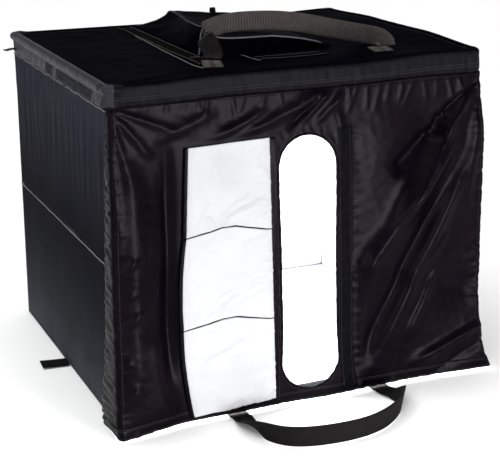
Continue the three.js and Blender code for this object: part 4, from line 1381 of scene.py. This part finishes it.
# The top handle's two edges. It rises from its left root, curls round at the left end with its
# inside showing, stands on its edge against the hatch and comes down to its right root.
HANDLE_START = [
    (-137, -154, 640.8), (-128, -143, 642), (-122, -134, 647), (-119, -127, 655), (-118, -121, 662),
    (-116, -115, 665), (-109, -109, 668), (-98, -105, 671), (-76, -103, 677), (-53, -102, 680), (-12, -100, 680),
    (42, -100, 677), (96, -101, 669), (158, -104, 656), (200, -112, 649), (233, -124, 647), (247, -141, 648),
    (246, -158, 647), (237, -170, 645), (232, -178, 644.5),
]
HANDLE_END = [
    (-101, -164, 640.8), (-91, -151, 642), (-88, -140, 648), (-95, -131, 660), (-107, -124, 676),
    (-115, -118, 691), (-113, -110, 702), (-100, -106, 706), (-77, -105, 712), (-53, -104, 715), (-12, -102, 716),
    (42, -102, 714), (96, -103, 707), (160, -106, 693), (202, -112, 682), (236, -123, 671), (256, -140, 663),
    (266, -158, 656), (266, -172, 650), (265, -186, 646),
]
# Its first 62 millimetres, at the left root and up into the curl, are a painted shade in the dark webbing.
ribbon("top_handle_strap", HANDLE_START, HANDLE_END, 2.2, "top_handle", ["top_handle_loop"], unrubbed=62.0)

BASE_OUTER = [
    (-169, -378, 2.4), (-170, -396, 4.4), (-172, -420, 12.6), (-168, -452, 27), (-152, -486, 35.4), (-128, -514, 38),
    (-92, -532, 38.6), (-40, -541, 38.6), (20, -540, 38), (66, -527, 38), (104, -506, 37.2), (138, -478, 35.8),
    (160, -448, 31.2), (172, -420, 19.4), (173, -398, 7), (171, -378, 2.6),
]
BASE_INNER = [
    (-133, -378, 2.4), (-134, -396, 2.6), (-140, -420, 3.2), (-150, -452, 5.6), (-146, -488, 4.8), (-124, -518, 3),
    (-90, -536, 2.6), (-38, -545, 2.6), (20, -543, 3), (66, -530, 3), (102, -508, 3.2), (132, -480, 3.8),
    (148, -450, 5.6), (148, -422, 4.9), (138, -398, 3.2), (133, -378, 2.6),
]
ribbon(
    "base_handle_strap", BASE_OUTER, BASE_INNER, 2.2, "base_handle", ["base_handle_loop"], look="dark webbing",
)
half = WEBBING_WIDTH / 2
for side, sign in (("left", -1), ("right", 1)):
    low, high = cad(f"base_handle_root_{side}")
    path = [((low[0] + high[0]) / 2, y, 1.8 + 0.2 * math.sin(y / 9)) for y in np.linspace(low[1], high[1], 6)]
    stands_for = [f"base_handle_root_{side}"]
    straight_ribbon(f"base_handle_end_{side}", path, (-half, 0, 0), 2.1, "base", stands_for, steps=8)
    low, high = cad(f"{side}_bottom_strap")
    xs = np.linspace(low[0], high[0], 7)[::sign]
    path = [(x, 2.0 * k / 3, 1.9 + 0.06 * k * k) for k, x in enumerate(xs)]
    straight_ribbon(
        f"{side}_bottom_strap_end", path, (0, half * sign, 0), 2.1, "base", [f"{side}_bottom_strap"], steps=8,
        look="dark webbing",
    )

tab_low, tab_high = cad("rear_corner_tab")
middle = (tab_low + tab_high) / 2
xs = np.linspace(tab_high[0], tab_low[0], 6)
path = [(x, middle[1] - 1.0 * k, middle[2] + 0.8 * math.sin(k)) for k, x in enumerate(xs)]
straight_ribbon("rear_corner_loop", path, (0, -9, 0), 1.8, "lid", ["rear_corner_tab"], 18.0, steps=8)

# ---------------------------------------------------------------- carried-over CAD parts

for node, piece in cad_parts.items():
    look = "board" if "board" in node else "rod" if "rod" in node else "elbow" if "elbow" in node else None
    if look and not piece.hide_render:
        for spot in piece.material_slots:
            spot.material = LOOKS[look]

# ---------------------------------------------------------------- own meshes for the curtain, flaps and back wall

for piece in CURTAIN_PARTS + FLAP_PARTS:
    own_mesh(piece)
for piece in (back, back_lining, back_stitching):
    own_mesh(piece)

# ---------------------------------------------------------------- stage, light and camera


GROUND = 14
t = Tree("pale floor")
cloudy = t.noise(t.node("ShaderNodeTexCoord").outputs["Object"], 400.0, 3.0)
t.link(t.blend(t.between(cloudy, 0, 1), (0.86, 0.86, 0.86), (0.89, 0.89, 0.89)), "Base Color")
t.shader.inputs["Roughness"].default_value = 0.9
t.shader.inputs["Specular IOR Level"].default_value = 0.1
ground_mesh = bpy.data.meshes.new("ground")
corners = [(GROUND * x, GROUND * y, 0) for x, y in ((-1, -1), (1, -1), (1, 1), (-1, 1))]
ground_mesh.from_pydata(corners, [], [(0, 1, 2, 3)])
ground_mesh.materials.append(t.material)
ground = bpy.data.objects.new("ground", ground_mesh)
ground.location.z = -0.0005
bpy.context.scene.collection.objects.link(ground)
ground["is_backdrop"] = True

world = bpy.data.worlds.new("studio")
world.use_nodes = True
sky = world.node_tree
heights = sky.nodes.new("ShaderNodeSeparateXYZ")
sky.links.new(sky.nodes.new("ShaderNodeTexCoord").outputs["Generated"], heights.inputs[0])
shade = sky.nodes.new("ShaderNodeMapRange")
sky.links.new(heights.outputs["Z"], shade.inputs["Value"])
for key, value in (("From Min", 0.1), ("From Max", 0.26), ("To Min", 0.9), ("To Max", 0.1)):
    shade.inputs[key].default_value = value
sky.links.new(shade.outputs[0], sky.nodes["Background"].inputs["Strength"])
sky.nodes["Background"].inputs["Color"].default_value = (0.97, 0.98, 1.0, 1)
bpy.context.scene.world = world


def set_up(thing, place, right, above, behind):
    """Add a light or the camera at a place, with its own three directions."""
    turned = np.stack([right, above, behind], 1)
    thing.matrix_world = Matrix([(*row, p) for row, p in zip(turned, place)] + [(0, 0, 0, 1)])
    bpy.context.scene.collection.objects.link(thing)


def softbox(name, place, target, size, power, colour=(1, 1, 1)):
    data = bpy.data.lights.new(name, "AREA")
    data.shape, data.size, data.size_y = "RECTANGLE", size[0], size[1]
    data.energy, data.color = power, colour
    lamp = bpy.data.objects.new(name, data)
    away = unit(np.array(place, float) - np.array(target, float))
    across = unit(np.cross((0, 0, 1.0), away)) if abs(away[2]) < 0.999 else np.array([1.0, 0, 0])
    set_up(lamp, place, across, np.cross(away, across), away)


softbox("key", (0.62, -3.2, 0.4), (-0.2, -0.33, 0.4), (0.9, 0.8), 105, (1.0, 0.98, 0.985))
softbox("left key", (-2.1, -2.7, 1.5), (-0.2, -0.3, 0.35), (0.7, 0.9), 30, (1.0, 0.99, 0.98))
softbox("side", (-3.2, 0.6, 1.3), (-0.4, 0, 0.2), (1.2, 1.2), 12, (0.9, 0.94, 1.0))
softbox("inside", (0, 0, 0.585), (0, 0, 0), (0.6, 0.5), 27)
overhead = bpy.data.objects.new("overhead", bpy.data.lights.new("overhead", "SUN"))
overhead.data.energy, overhead.data.angle = 3.3, math.radians(70)
overhead.rotation_euler = (math.radians(-8), math.radians(-10), 0)
bpy.context.scene.collection.objects.link(overhead)

# The camera, solved from the box's corners in the photograph.
AZIMUTH, ELEVATION, ROLL = math.radians(-24.09), math.radians(17.76), math.radians(0.16)
CAMERA_PLACE = (-1.036, -2.3935, 1.079)
SENSOR, FOCAL_SHARE = 36.0, 1290 / 500
camera_data = bpy.data.cameras.new("camera")
camera_data.sensor_width = SENSOR
camera_data.lens = FOCAL_SHARE * SENSOR
camera_data.clip_end = 60
camera = bpy.data.objects.new("camera", camera_data)
level = math.cos(ELEVATION)
behind = np.array([math.sin(AZIMUTH) * level, -math.cos(AZIMUTH) * level, math.sin(ELEVATION)])
right = unit(np.cross((0, 0, 1.0), behind))
above = np.cross(behind, right)
cos, sin = math.cos(ROLL), math.sin(ROLL)
set_up(camera, CAMERA_PLACE, cos * right + sin * above, cos * above - sin * right, behind)
bpy.context.scene.camera = camera
bpy.context.scene.view_settings.view_transform = "Standard"

sizes = {"cad": cad_box, "visual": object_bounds()}
{key: [[float(v) for v in corner] for corner in box] for key, box in sizes.items()}
